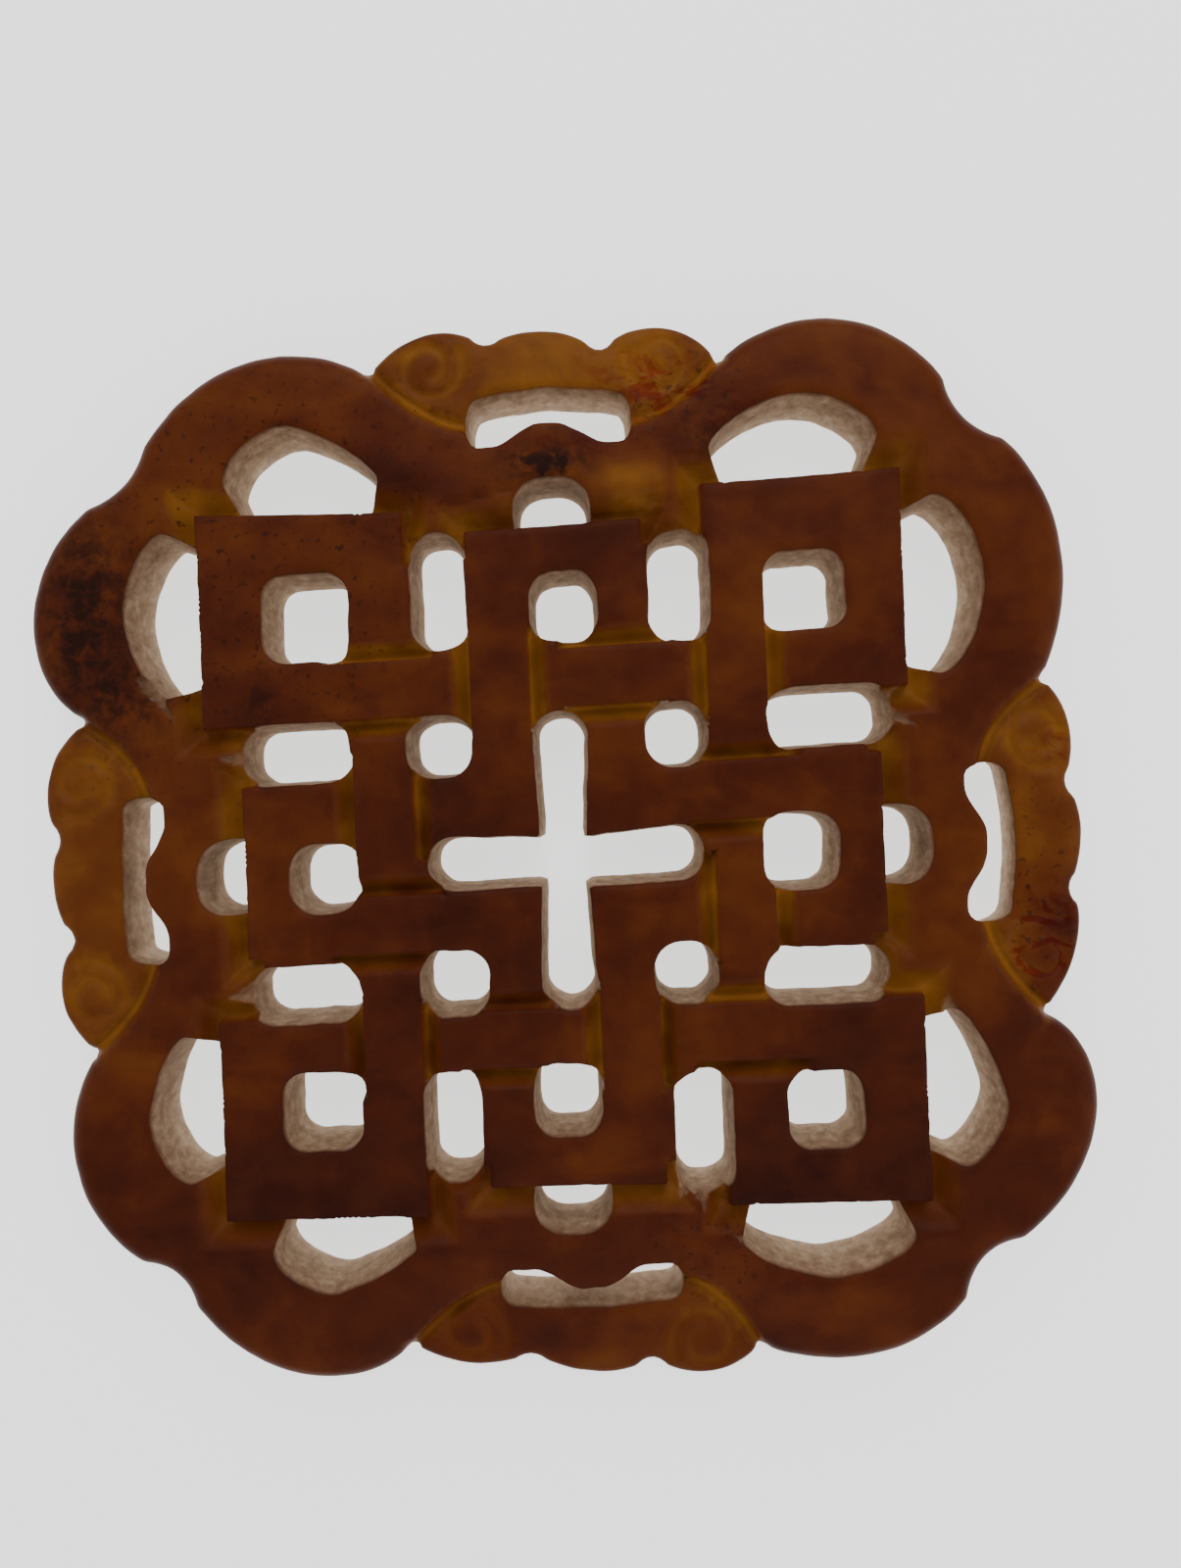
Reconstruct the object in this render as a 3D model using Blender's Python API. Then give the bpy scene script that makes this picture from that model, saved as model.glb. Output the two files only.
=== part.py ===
"""Openwork jade plaque, carved side up, lying on its plain back.

The plan is worked out in millimetres, X to the right and Y up the plaque, with the weave's
straps laid out from its centre. The mesh is made from that plan in metres at the end.
"""
import math

import bmesh
import bpy
import numpy as np
from mathutils import Vector
from mathutils.geometry import delaunay_2d_cdt

MM = 0.001

# Slab
THICKNESS = 5.0
RIM_EASE = 1.5
RIM_DROP = 1.3
BACK_CHAMFER = 0.5
WALL_DRAFT = 0.3

# Woven lattice, from its centre outwards
STRAP = 3.3
CROSS_GAP = 3.4
SMALL_GAP = 3.6
CORNER_GAP = 4.8
BLOCK_STRAP = 3.5
LOOP_SETBACK = 1.7
LOOP_STRAP = 2.1
SLOT_REACH = 1.3
LATTICE_DROP = 0.6
STRAP_LEAN = 0.01
STRAP_FAN = 0.0015
BLOCK_TILT = 0.065
BLOCK_TILT_MIDDLE = 13.5
BLOCK_TILT_FADE = 1.5

# Frame around the lattice
BAND = 9.65
EYE_RIM = 5.05
EYE_NEAR_INSET = 0.9
EYE_FAR_INSET = 1.6
EYE_SHOULDER = 1.9
EYE_FOOT_INSET = 0.75
EYE_FULLNESS = 1.7
MOON_WIDTH = 4.5
MOON_DEPTH = 2.85
MOON_SHOULDER = 0.9
MOON_FULLNESS = 2.4
CLOUD_RIM = 3.75
CLOUD_SLOT_LENGTH = 9.5
CLOUD_SLOT_WIDTH = 3.05
CLOUD_SLOT_END = 0.75
CLOUD_SLOT_SAG = 0.35
CLOUD_BUMP = 1.2
CLOUD_BUMP_HALF = 3.3
CLOUD_BUMP_RAMP = 2.8

# Corner radii of the openings
HOLE_CORNER = 1.3
SMALL_CORNER = 1.5
SLOT_CORNER = 1.45
CROSS_CORNER = 1.5

# Carved relief
CUT_WALL = 0.14
WEAVE_CUT = 1.1
WEAVE_CUT_WIDTH = 0.75
BORDER_CUT = 1.2
BORDER_CUT_WIDTH = 1.1
CLOUD_DROP = 0.7
CLOUD_STEP = 0.35
LINE_HALF_WIDTH = 0.35
EDGE_LINE_DEPTH = 0.55
CURL_LINE_DEPTH = 0.4
CURL_RADIUS = 2.0
CURL_RIM = 0.1
CURL_CORE = 0.7
CURL_TURNS = 1.25
CLOUD_LINE_BEND = 2.8

# Fineness of the mesh
FACET = 0.95
ARC_STEPS = 4
DOME_STEPS = 24
EYE_FACET = 0.75
MOON_FACET = 0.55
SLOT_STEPS = 13
CAP_STEPS = 5
CURL_STEPS = 40
LOOSE_SPACING = 2.4
LINE_SPACING = 0.6
POINT_GAP = 0.28
NODE_GAP = 0.15
RIM_ROWS = (0.25, 0.6, 1.0)
MERGE = 0.001
PROBE = 0.05
SHALLOW = 0.3
SHARP_ANGLE = 30.0

# The rim, clockwise from the top: each row is a notch, how far the bulge after it rises over its
# chord, where along the chord it is highest, and how far the notch is eased into its neighbours.
RIM = (
    ((-3.4, 28.6), 0.95, 0.52, 0.9),
    ((3.1, 28.1), 1.60, 0.50, 0.9),
    ((9.8, 27.1), 3.90, 0.50, 0.5),
    ((23.5, 23.3), 3.30, 0.46, 2.4),
    ((27.3, 8.4), 1.00, 0.45, 0.5),
    ((28.5, 2.4), 0.80, 0.44, 0.9),
    ((28.5, -3.6), 1.05, 0.40, 0.9),
    ((26.8, -10.5), 4.30, 0.43, 0.5),
    ((22.7, -24.2), 2.95, 0.46, 2.4),
    ((9.9, -28.6), 1.25, 0.48, 0.5),
    ((3.7, -29.2), 0.90, 0.45, 0.9),
    ((-3.1, -28.7), 0.85, 0.50, 0.9),
    ((-9.8, -27.8), 3.40, 0.46, 0.5),
    ((-22.8, -23.3), 3.40, 0.49, 2.0),
    ((-27.0, -10.6), 1.35, 0.50, 0.5),
    ((-28.1, -4.1), 0.75, 0.47, 0.9),
    ((-28.7, 1.6), 1.30, 0.48, 0.9),
    ((-27.0, 8.2), 3.80, 0.46, 0.5),
    ((-24.1, 21.4), 3.50, 0.53, 2.4),
    ((-10.1, 27.2), 1.40, 0.54, 0.5),
)
RIM_DRAWN_HALF = max(abs(value) for notch, _, _, _ in RIM for value in notch)

# Each opening was cut by hand and strays from the straps' grid. For openings between straps: its
# left, right, lower and upper side, moved outwards.
STRAYS = {
    "corner -1 1": (0.1, 0.1, -0.2, 0.6),
    "corner 1 1": (0.0, -0.1, -0.1, -0.2),
    "corner -1 -1": (0.0, -0.2, -0.3, 0.1),
    "corner 1 -1": (-0.2, -0.2, 0.3, -0.7),
    "small -1 1": (0.3, -0.1, 0.1, 0.0),
    "small 1 1": (0.2, -0.1, 0.2, -0.1),
    "small -1 -1": (0.0, 0.4, 0.3, 0.0),
    "small 1 -1": (0.2, -0.1, 0.1, -0.1),
    "loop up": (-0.2, 0.7, -0.4, 0.0),
    "loop down": (0.7, -0.1, -0.4, 0.2),
    "loop left": (-0.6, 0.1, 0.9, -0.2),
    "loop right": (0.6, -0.7, 0.8, 0.2),
    "slot up -1": (-0.3, -0.1, -0.4, 0.4),
    "slot up 1": (-0.3, 0.3, 0.0, -0.6),
    "slot down -1": (0.1, -0.3, -0.3, -0.1),
    "slot down 1": (-0.6, 0.4, 0.6, -0.5),
    "slot left -1": (-0.5, -0.1, 0.4, -0.5),
    "slot left 1": (-0.5, -0.1, 0.0, 0.0),
    "slot right -1": (0.8, -0.5, 0.4, -0.7),
    "slot right 1": (0.1, 0.2, -0.4, 0.3),
}

# The cross's arms: left, right, down and up. Its inner corners stand into it, each by so much
# across and along: upper left, upper right, lower left and lower right.
CROSS_ARMS = (7.9, 7.9, 8.7, 8.4)
CROSS_PINCH = ((0.25, 0.45), (0.4, 0.5), (0.3, 0.15), (0.4, -0.05))

# Eyes, two on each side going clockwise from the top: near end, far end, straight side and roof,
# all moved outwards, where the roof is highest along the eye, and how full its near shoulder is.
EYE_STRAYS = (
    (-0.2, 0.1, 0.5, 1.2, 0.42, 1.35), (0.4, 0.2, 0.4, 0.5, 0.55, 1.7),
    (0.4, 0.5, -0.3, -0.2, 0.50, 1.7), (0.1, -0.4, -0.1, -0.1, 0.61, 1.35),
    (0.3, 0.5, -0.2, -0.6, 0.50, 1.7), (0.2, -0.9, 0.1, 0.0, 0.58, 1.2),
    (0.1, -0.4, -0.1, -0.5, 0.43, 1.7), (-1.0, 1.2, 0.1, -0.1, 0.55, 1.7),
)

# Half-moons, clockwise from the top: moved along the side and outwards.
MOON_STRAYS = ((0.0, 0.45), (0.2, -0.3), (0.4, 0.2), (-0.2, -0.25))

# Cloud slots, clockwise from the top: moved along the side, outwards, wider, longer, more arched, and
# how much further their walls lean in towards the back.
CLOUD_STRAYS = (
    (0.05, 0.4, 0.5, 0.1, 0.15, 0.0), (0.73, -0.2, 0.0, -0.3, 0.0, -0.8),
    (-0.5, 0.5, -0.4, 1.1, -0.1, 0.0), (-1.0, -0.5, -0.2, 0.2, -0.2, 0.0),
)


def grid_lines():
    """Strap edges along one axis, counted out from the weave's centre."""
    edges = [CROSS_GAP / 2]
    for width in (STRAP, SMALL_GAP, STRAP, CORNER_GAP, BLOCK_STRAP):
        edges.append(edges[-1] + width)
    return edges


CROSS_EDGE, LOOP_IN, HOLE_OUT, BLOCK_IN, CORNER_OUT, BLOCK_EDGE = grid_lines()
LOOP_EDGE = BLOCK_EDGE - LOOP_SETBACK
CORE_EDGE = BLOCK_EDGE - SLOT_REACH - SLOT_CORNER
WEAVE_REACH = STRAP / 2 + SMALL_CORNER
RIM_HALF = BLOCK_EDGE + BAND


def side_frame(side):
    """Outward direction of a side and the direction along it, both as unit vectors."""
    outward = np.array(((0.0, 1.0), (1.0, 0.0), (0.0, -1.0), (-1.0, 0.0))[side])
    along = np.array((outward[1], -outward[0]))
    return outward, along


def lean(points):
    """Grid points put on the plaque: its level straps fan out a little to the right."""
    points = np.asarray(points, dtype=float)
    x, y = points[:, 0], points[:, 1]
    return np.column_stack((x, y + x * (STRAP_LEAN + STRAP_FAN * y) - LATTICE_DROP + block_tilt(x, y)))


def unlean(points):
    """Plaque points as the weave's own grid sees them."""
    x, y = points[:, 0], points[:, 1]
    level = (y + LATTICE_DROP - STRAP_LEAN * x) / (1 + STRAP_FAN * x)
    across = level
    for _ in range(3):
        across = level - block_tilt(x, across) / (1 + STRAP_FAN * x)
    return np.column_stack((x, across))


def block_tilt(x, y):
    """How far the outer edge of the upper left block turns up towards the plaque's corner."""
    upwards = smooth((y - CORNER_OUT) / BLOCK_STRAP)
    leftwards = smooth(1 - (HOLE_OUT + x) / BLOCK_TILT_FADE)
    return -BLOCK_TILT * (x + BLOCK_TILT_MIDDLE) * upwards * leftwards


def turn_to_side(side, points):
    """Points given as (along a side, outwards), turned to that side."""
    outward, along = side_frame(side)
    points = np.asarray(points, dtype=float)
    return points[:, :1] * along + points[:, 1:] * outward


def bulge(start, end, rise, crest, steps):
    """A round stretch of the rim between two notches, without its end point."""
    chord = end - start
    length = np.hypot(*chord)
    tangent = chord / length
    outward = np.array((-tangent[1], tangent[0]))
    radius = (length * length / 4 + rise * rise) / (2 * rise)
    share = np.linspace(0.0, 1.0, steps + 1)
    warped = share ** (math.log(0.5) / math.log(crest))
    lift = np.sqrt(radius * radius - (length * (warped - 0.5)) ** 2) - (radius - rise)
    return start + np.outer(share * length, tangent) + np.outer(lift, outward)


def cut_back(points, trim):
    """Shortens a line of points by a length at both of its ends."""
    lengths = np.hypot(*np.diff(points, axis=0).T)
    along = np.concatenate(((0.0,), np.cumsum(lengths)))
    first, last = trim[0], along[-1] - trim[1]
    kept = (along > first) & (along < last)
    ends = [np.array([np.interp(at, along, points[:, axis]) for axis in (0, 1)]) for at in (first, last)]
    return np.vstack((ends[0], points[kept], ends[1]))


def rim_line(facet):
    """The plaque's outline: bulges joined by eased notches, clockwise."""
    scale = RIM_HALF / RIM_DRAWN_HALF
    notches = [np.array(row[0]) * scale for row in RIM]
    eases = [row[3] * scale for row in RIM]
    line = []
    for index, (_, rise, crest, _) in enumerate(RIM):
        after = (index + 1) % len(RIM)
        start, end = notches[index], notches[after]
        steps = max(24, int(np.hypot(*(end - start)) / 0.2))
        arc = bulge(start, end, rise * scale, crest, steps)
        arc = cut_back(arc, (eases[index], eases[after]))
        line.append(resample(arc, facet))
    outline = []
    for index, arc in enumerate(line):
        before = line[index - 1][-1]
        outline.extend(ease_notch(before, notches[index], arc[0], max(2, int(eases[index] / facet * 2))))
        outline.extend(arc)
    return np.array(outline)


def ease_notch(start, notch, end, steps):
    """Points strictly between two ends on a curve that passes through the notch."""
    control = 2 * notch - (start + end) / 2
    share = np.linspace(0.0, 1.0, steps + 2)[1:-1, None]
    return (1 - share) ** 2 * start + 2 * share * (1 - share) * control + share ** 2 * end


def resample(points, facet):
    """The same line with evenly spaced points about one facet apart."""
    lengths = np.hypot(*np.diff(points, axis=0).T)
    along = np.concatenate(((0.0,), np.cumsum(lengths)))
    count = max(1, round(along[-1] / facet))
    marks = np.linspace(0.0, along[-1], count + 1)
    return np.column_stack([np.interp(marks, along, points[:, axis]) for axis in (0, 1)])


def round_corners(corners, radii, steps=None):
    """A closed outline with an arc at each corner that has a radius."""
    corners = [np.asarray(corner, dtype=float) for corner in corners]
    steps = steps or ARC_STEPS
    outline = []
    for index, corner in enumerate(corners):
        radius = radii[index]
        if radius <= 0:
            outline.append(corner)
            continue
        back = corners[index - 1] - corner
        ahead = corners[(index + 1) % len(corners)] - corner
        back_length, ahead_length = np.hypot(*back), np.hypot(*ahead)
        back, ahead = back / back_length, ahead / ahead_length
        half_angle = math.acos(np.clip(np.dot(back, ahead), -1.0, 1.0)) / 2
        room = 0.49 * min(back_length, ahead_length)
        reach = min(radius / math.tan(half_angle), room)
        radius = reach * math.tan(half_angle)
        centre_way = (back + ahead) / np.hypot(*(back + ahead))
        centre = corner + centre_way * math.hypot(radius, reach)
        start, end = corner + back * reach - centre, corner + ahead * reach - centre
        turn = math.atan2(start[0] * end[1] - start[1] * end[0], np.dot(start, end))
        for step in range(steps + 1):
            angle = turn * step / steps
            spin = np.array(((math.cos(angle), -math.sin(angle)), (math.sin(angle), math.cos(angle))))
            outline.append(centre + spin @ start)
    return np.array(outline)


def span(sign, near, far):
    """The two grid edges of a gap on one side of the centre, lower value first."""
    return (near, far) if sign > 0 else (-far, -near)


def grid_box(name, across, up, radius):
    """A rounded opening between straps, with its sides moved out by its strays."""
    strays = STRAYS[name]
    left, right = across[0] - strays[0], across[1] + strays[1]
    low, high = up[0] - strays[2], up[1] + strays[3]
    return round_corners(lean([(left, low), (right, low), (right, high), (left, high)]), [radius] * 4)


def square_holes():
    """A hole in each corner block, and a small one inside it towards the cross."""
    holes = []
    for sx in (-1, 1):
        for sy in (-1, 1):
            across, up = span(sx, BLOCK_IN, CORNER_OUT), span(sy, BLOCK_IN, CORNER_OUT)
            holes.append(grid_box(f"corner {sx} {sy}", across, up, HOLE_CORNER))
            across, up = span(sx, LOOP_IN, HOLE_OUT), span(sy, LOOP_IN, HOLE_OUT)
            holes.append(grid_box(f"small {sx} {sy}", across, up, SMALL_CORNER))
    return holes


def loop_holes_and_slots():
    """The hole inside each middle loop, and the two long slots beside it."""
    found = []
    middle = (-CROSS_EDGE, CROSS_EDGE)
    for name, sign, upright in (("up", 1, True), ("down", -1, True), ("left", -1, False), ("right", 1, False)):
        reach = span(sign, BLOCK_IN, LOOP_EDGE - LOOP_STRAP)
        pair = (middle, reach) if upright else (reach, middle)
        found.append(grid_box(f"loop {name}", *pair, SMALL_CORNER))
        reach = span(sign, BLOCK_IN, BLOCK_EDGE - SLOT_REACH)
        for side in (-1, 1):
            gap = span(side, LOOP_IN, HOLE_OUT)
            pair = (gap, reach) if upright else (reach, gap)
            found.append(grid_box(f"slot {name} {side}", *pair, SLOT_CORNER))
    return found


def cross():
    """The middle opening: round arm ends and sharp inner corners."""
    left, right, down, up = CROSS_ARMS
    half = CROSS_EDGE
    upper_left, upper_right, lower_left, lower_right = (half - np.array(pinch) for pinch in CROSS_PINCH)
    corners = (upper_right, (half, up), (-half, up), upper_left * (-1, 1), (-left, half), (-left, -half),
               -lower_left, (-half, -down), (half, -down), lower_right * (1, -1), (right, -half), (right, half))
    radii = (0.0, CROSS_CORNER, CROSS_CORNER) * 4
    return round_corners(lean(corners), radii)


def dome(left, right, base, height, crest, shoulder, foot_inset, fullnesses, facet):
    """A straight base with a round roof over it, as softened (along, outwards) points."""
    outline = [(left + foot_inset, base), (right - foot_inset, base)]
    for step in range(DOME_STEPS + 1):
        angle = math.pi * step / DOME_STEPS
        reach = right - crest if angle < math.pi / 2 else crest - left
        fullness = fullnesses[angle < math.pi / 2]
        across = math.copysign(abs(math.cos(angle)) ** (2 / fullness), math.cos(angle))
        lift = abs(math.sin(angle)) ** (2 / fullness)
        outline.append((crest + reach * across, base + shoulder + (height - shoulder) * lift))
    outline = np.array(outline + outline[:1])
    even = resample(outline, facet / 2)[:-1]
    soft = (np.roll(even, 1, axis=0) + 2 * even + np.roll(even, -1, axis=0)) / 4
    return resample(np.vstack((soft, soft[:1])), facet)[:-1]


def eyes():
    """Two eye-shaped openings on each side, straight along the corner blocks."""
    found = []
    for index, (near, far, base, roof, crest, near_fullness) in enumerate(EYE_STRAYS):
        side, sign = index // 2, 1 if index % 2 else -1
        inner = HOLE_OUT + EYE_NEAR_INSET - near
        outer = BLOCK_EDGE - EYE_FAR_INSET + far
        left, right = span(sign, inner, outer)
        height = BAND - EYE_RIM + roof - base
        top = left + crest * (right - left)
        fullnesses = (near_fullness, EYE_FULLNESS)[::sign]
        outline = dome(left, right, BLOCK_EDGE + base, height, top, EYE_SHOULDER, EYE_FOOT_INSET,
                       fullnesses, EYE_FACET)
        found.append(lean(turn_to_side(side, outline)))
    return found


def moons():
    """A half-moon opening outside each middle loop, straight along the loop."""
    found = []
    for side, (shift, outwards) in enumerate(MOON_STRAYS):
        left, right = shift - MOON_WIDTH / 2, shift + MOON_WIDTH / 2
        outline = dome(left, right, LOOP_EDGE + outwards, MOON_DEPTH, shift, MOON_SHOULDER, 0.0,
                       (MOON_FULLNESS, MOON_FULLNESS), MOON_FACET)
        found.append(lean(turn_to_side(side, outline)))
    return found


def slot_reach(side):
    """How far a cloud slot's walls run from its middle before its round ends begin."""
    return (CLOUD_SLOT_LENGTH + CLOUD_STRAYS[side][3]) / 2 - CLOUD_SLOT_END


def slot_walls(side, along):
    """Outer and inner wall of a cloud slot at places along it, measured from the plaque's centre."""
    _, outwards, wider, _, arched, _ = CLOUD_STRAYS[side]
    outer = RIM_HALF - CLOUD_RIM + outwards
    roof = outer - (CLOUD_SLOT_SAG + arched) * (along / slot_reach(side)) ** 2
    bump = CLOUD_BUMP * smooth((CLOUD_BUMP_HALF - np.abs(along)) / CLOUD_BUMP_RAMP)
    return roof, outer - CLOUD_SLOT_WIDTH - wider + bump


def cloud_slots():
    """A bracket-shaped slot behind each side cloud: arched outside, bumped inside."""
    found = []
    for side, (shift, *_) in enumerate(CLOUD_STRAYS):
        end = slot_reach(side)
        along = np.linspace(-end, end, SLOT_STEPS)
        roof, floor = slot_walls(side, along)
        outline = list(zip(along, roof)) + end_cap(end, roof[-1], floor[-1])
        outline += list(zip(along, floor))[::-1] + end_cap(-end, floor[0], roof[0])
        found.append(turn_to_side(side, np.array(outline) + np.array((shift, 0.0))))
    return found


def end_cap(at, start, end):
    """A round end from one height to another, without its end points."""
    middle, half = (start + end) / 2, (start - end) / 2
    cap = []
    for step in range(1, CAP_STEPS):
        angle = math.pi * step / CAP_STEPS
        reach = math.copysign(CLOUD_SLOT_END * math.sin(angle), at)
        cap.append((at + reach, middle + half * math.cos(angle)))
    return cap


def cloud_edges():
    """The carved line at each end of a cloud, from the rim's notch to the slot."""
    scale = RIM_HALF / RIM_DRAWN_HALF
    lines = []
    share = np.linspace(0.0, 1.0, 13)[:, None]
    for side, (shift, *_) in enumerate(CLOUD_STRAYS):
        outward, along = side_frame(side)
        for index, sign in ((5 * side - 1, -1), (5 * side + 2, 1)):
            notch = np.array(RIM[index][0]) * scale
            at = sign * slot_reach(side)
            roof, floor = slot_walls(side, np.array(at))
            slot_end = along * (at + shift) + outward * (0.4 * roof + 0.6 * floor)
            bend = slot_end + along * sign * CLOUD_LINE_BEND
            lines.append((1 - share) ** 2 * notch + 2 * share * (1 - share) * bend + share ** 2 * slot_end)
    return lines


def cloud_areas(edges):
    """Each cloud as a closed area: its edge lines, the middle of its slot and the open outside."""
    areas = []
    for side, (shift, *_) in enumerate(CLOUD_STRAYS):
        along = np.linspace(-slot_reach(side), slot_reach(side), SLOT_STEPS)
        outside = side_frame(side)[0] * 2 * CLOUD_RIM
        middle = turn_to_side(side, np.column_stack((along + shift, np.mean(slot_walls(side, along), axis=0))))
        first, last = edges[2 * side], edges[2 * side + 1]
        areas.append(np.vstack((first[:1] + outside, first, middle, last[::-1], last[:1] + outside)))
    return areas


def curls():
    """The spiral line in the round ends of each cloud, starting from the notch beside its middle."""
    scale = RIM_HALF / RIM_DRAWN_HALF
    share = np.linspace(0.0, 1.0, CURL_STEPS)
    lines = []
    for side in range(4):
        for index, spin in ((5 * side - 1, -1), (5 * side + 1, 1)):
            start, end = (np.array(RIM[i % len(RIM)][0]) * scale for i in (index, index + 1))
            tangent = (end - start) / np.hypot(*(end - start))
            outward = np.array((-tangent[1], tangent[0]))
            crown = (start + end) / 2 + outward * RIM[index][1] * scale
            centre = crown - outward * (CURL_RADIUS + CURL_RIM)
            away = (end if spin < 0 else start) - centre
            radius = CURL_RADIUS + (CURL_CORE - CURL_RADIUS) * share
            angle = math.atan2(away[1], away[0]) + spin * 2 * math.pi * CURL_TURNS * share
            lines.append(centre + np.column_stack((radius * np.cos(angle), radius * np.sin(angle))))
    return lines


def openings():
    """Every opening that is cut through the plaque."""
    return square_holes() + loop_holes_and_slots() + [cross()] + eyes() + moons() + cloud_slots()


def distance_to_line(points, line, closed=False):
    """Distance of each point to a line of points."""
    if closed:
        line = np.vstack((line, line[:1]))
    start, step = line[:-1], np.diff(line, axis=0)
    best = np.full(len(points), np.inf)
    for corner, way in zip(start, step):
        offset = points - corner
        share = np.clip(offset @ way / max(np.dot(way, way), 1e-12), 0.0, 1.0)
        best = np.minimum(best, np.hypot(*(offset - share[:, None] * way).T))
    return best


def inside(points, outline):
    """Which points lie inside a closed outline."""
    found = np.zeros(len(points), dtype=bool)
    x, y = points[:, 0], points[:, 1]
    for (x0, y0), (x1, y1) in zip(outline, np.roll(outline, -1, axis=0)):
        if y0 == y1:
            continue
        crosses = (y0 > y) != (y1 > y)
        found ^= crosses & (x < x0 + (y - y0) * (x1 - x0) / (y1 - y0))
    return found


def smooth(share):
    """An eased step from 0 to 1."""
    share = np.clip(share, 0.0, 1.0)
    return share * share * (3 - 2 * share)


def stop_cut(distance, depth, width):
    """A cut that drops at an edge and climbs back over its width; nothing behind the edge."""
    fall = np.clip(distance / CUT_WALL, 0.0, 1.0)
    climb = np.clip((width - distance) / (width - CUT_WALL), 0.0, 1.0)
    return depth * np.minimum(fall, climb)


def crossings():
    """Every crossing: its two strap centres and whether the upright strap lies on top."""
    centres = (-(HOLE_OUT + BLOCK_IN) / 2, -(CROSS_EDGE + LOOP_IN) / 2,
               (CROSS_EDGE + LOOP_IN) / 2, (HOLE_OUT + BLOCK_IN) / 2)
    found = []
    for column in range(4):
        for row in range(4):
            if column in (1, 2) and row in (1, 2):
                continue
            found.append((centres[column], -centres[row], (column + row) % 2 == 1))
    return found


def weave_cut(points):
    """Depth of the cuts where a strap dips beside the one that crosses over it."""
    x, y = unlean(points).T
    depth = np.zeros(len(points))
    for centre_x, centre_y, upright_on_top in crossings():
        across, along = (x - centre_x, y - centre_y) if upright_on_top else (y - centre_y, x - centre_x)
        cut = stop_cut(np.abs(across) - STRAP / 2, WEAVE_CUT, WEAVE_CUT_WIDTH)
        depth = np.maximum(depth, np.where(np.abs(along) < WEAVE_REACH, cut, 0.0))
    return depth


def block_edge(side, sign):
    """Where a corner block ends towards the frame: the straight side of the eye beside it."""
    return BLOCK_EDGE + EYE_STRAYS[2 * side + (sign > 0)][2]


def loop_edge(side):
    """Where a middle loop ends towards the frame: the straight side of its half-moon."""
    return LOOP_EDGE + MOON_STRAYS[side][1]


def lattice_boxes():
    """The weave's core, and the blocks and loops that stand against the frame: corners on the grid."""
    boxes = [np.array(((-CORE_EDGE, -CORE_EDGE), (CORE_EDGE, CORE_EDGE)))]
    for side in range(4):
        block = ((HOLE_OUT, HOLE_OUT), (block_edge((side + 1) % 4, -1), block_edge(side, 1)))
        loop = ((-LOOP_IN, 0.0), (LOOP_IN, loop_edge(side)))
        for box in (block, loop):
            turned = turn_to_side(side, box)
            boxes.append(np.array((turned.min(axis=0), turned.max(axis=0))))
    return boxes


def border_cut(points):
    """Depth of the cut that sets the frame back beside the lattice, with mitred corners."""
    placed = unlean(points)
    nearest = np.full(len(points), np.inf)
    for low, high in lattice_boxes():
        nearest = np.minimum(nearest, np.maximum(low - placed, placed - high).max(axis=1))
    return stop_cut(nearest, BORDER_CUT, BORDER_CUT_WIDTH)


def line_cut(points, lines, depth):
    """Depth of round-bottomed carved lines."""
    nearest = np.full(len(points), np.inf)
    for line in lines:
        nearest = np.minimum(nearest, distance_to_line(points, line))
    share = np.clip(1 - (nearest / LINE_HALF_WIDTH) ** 2, 0.0, 1.0)
    return depth * share


def cloud_fall(points, edges):
    """How far the clouds lie below the lobes beside them."""
    fall = np.zeros(len(points))
    for area in cloud_areas(edges):
        reach = distance_to_line(points, area, closed=True)
        signed = np.where(inside(points, area), reach, -reach)
        fall = np.maximum(fall, smooth(0.5 + signed / (2 * CLOUD_STEP)))
    return CLOUD_DROP * fall


def face_height(points, rim, edges, curl_lines):
    """Height of the carved face over the back, in millimetres."""
    carved = cloud_fall(points, edges)
    carved = carved + line_cut(points, edges, EDGE_LINE_DEPTH)
    carved = carved + line_cut(points, curl_lines, CURL_LINE_DEPTH)
    carved = np.maximum(carved, np.maximum(weave_cut(points), border_cut(points)))
    near = np.clip(1 - distance_to_line(points, rim, closed=True) / RIM_EASE, 0.0, 1.0)
    eased = RIM_DROP * (1 - np.sqrt(1 - near * near))
    return THICKNESS - np.hypot(carved, eased)


def cut_lines():
    """Straight lines along every stop cut: its top edge, its foot and where it runs out."""
    lines = []
    for centre_x, centre_y, upright_on_top in crossings():
        for sign in (-1, 1):
            for beside in (0.0, CUT_WALL, WEAVE_CUT_WIDTH):
                across = sign * (STRAP / 2 + beside)
                ends = [(across, -WEAVE_REACH), (across, WEAVE_REACH)]
                if not upright_on_top:
                    ends = [(y, x) for x, y in ends]
                lines.append(lean([(centre_x + a, centre_y + b) for a, b in ends]))
    for side in range(4):
        for beside in (0.0, CUT_WALL, BORDER_CUT_WIDTH):
            lines.extend(border_lines(side, beside))
        lines.extend(mitre_lines(side))
    return lines


def border_lines(side, beside):
    """The frame's cut along one side: round the middle loop's end and the corner blocks."""
    wide, high = LOOP_IN + beside, loop_edge(side) + beside
    runs = [[(-wide, CORE_EDGE), (-wide, high), (wide, high), (wide, CORE_EDGE)]]
    for sign in (-1, 1):
        near, high = sign * (HOLE_OUT - beside), block_edge(side, sign) + beside
        far = sign * (block_edge((side + sign) % 4, -sign) + beside)
        runs.append([(near, CORE_EDGE), (near, high), (far, high)])
    return [lean(turn_to_side(side, pair)) for run in runs for pair in zip(run[:-1], run[1:])]


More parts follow.
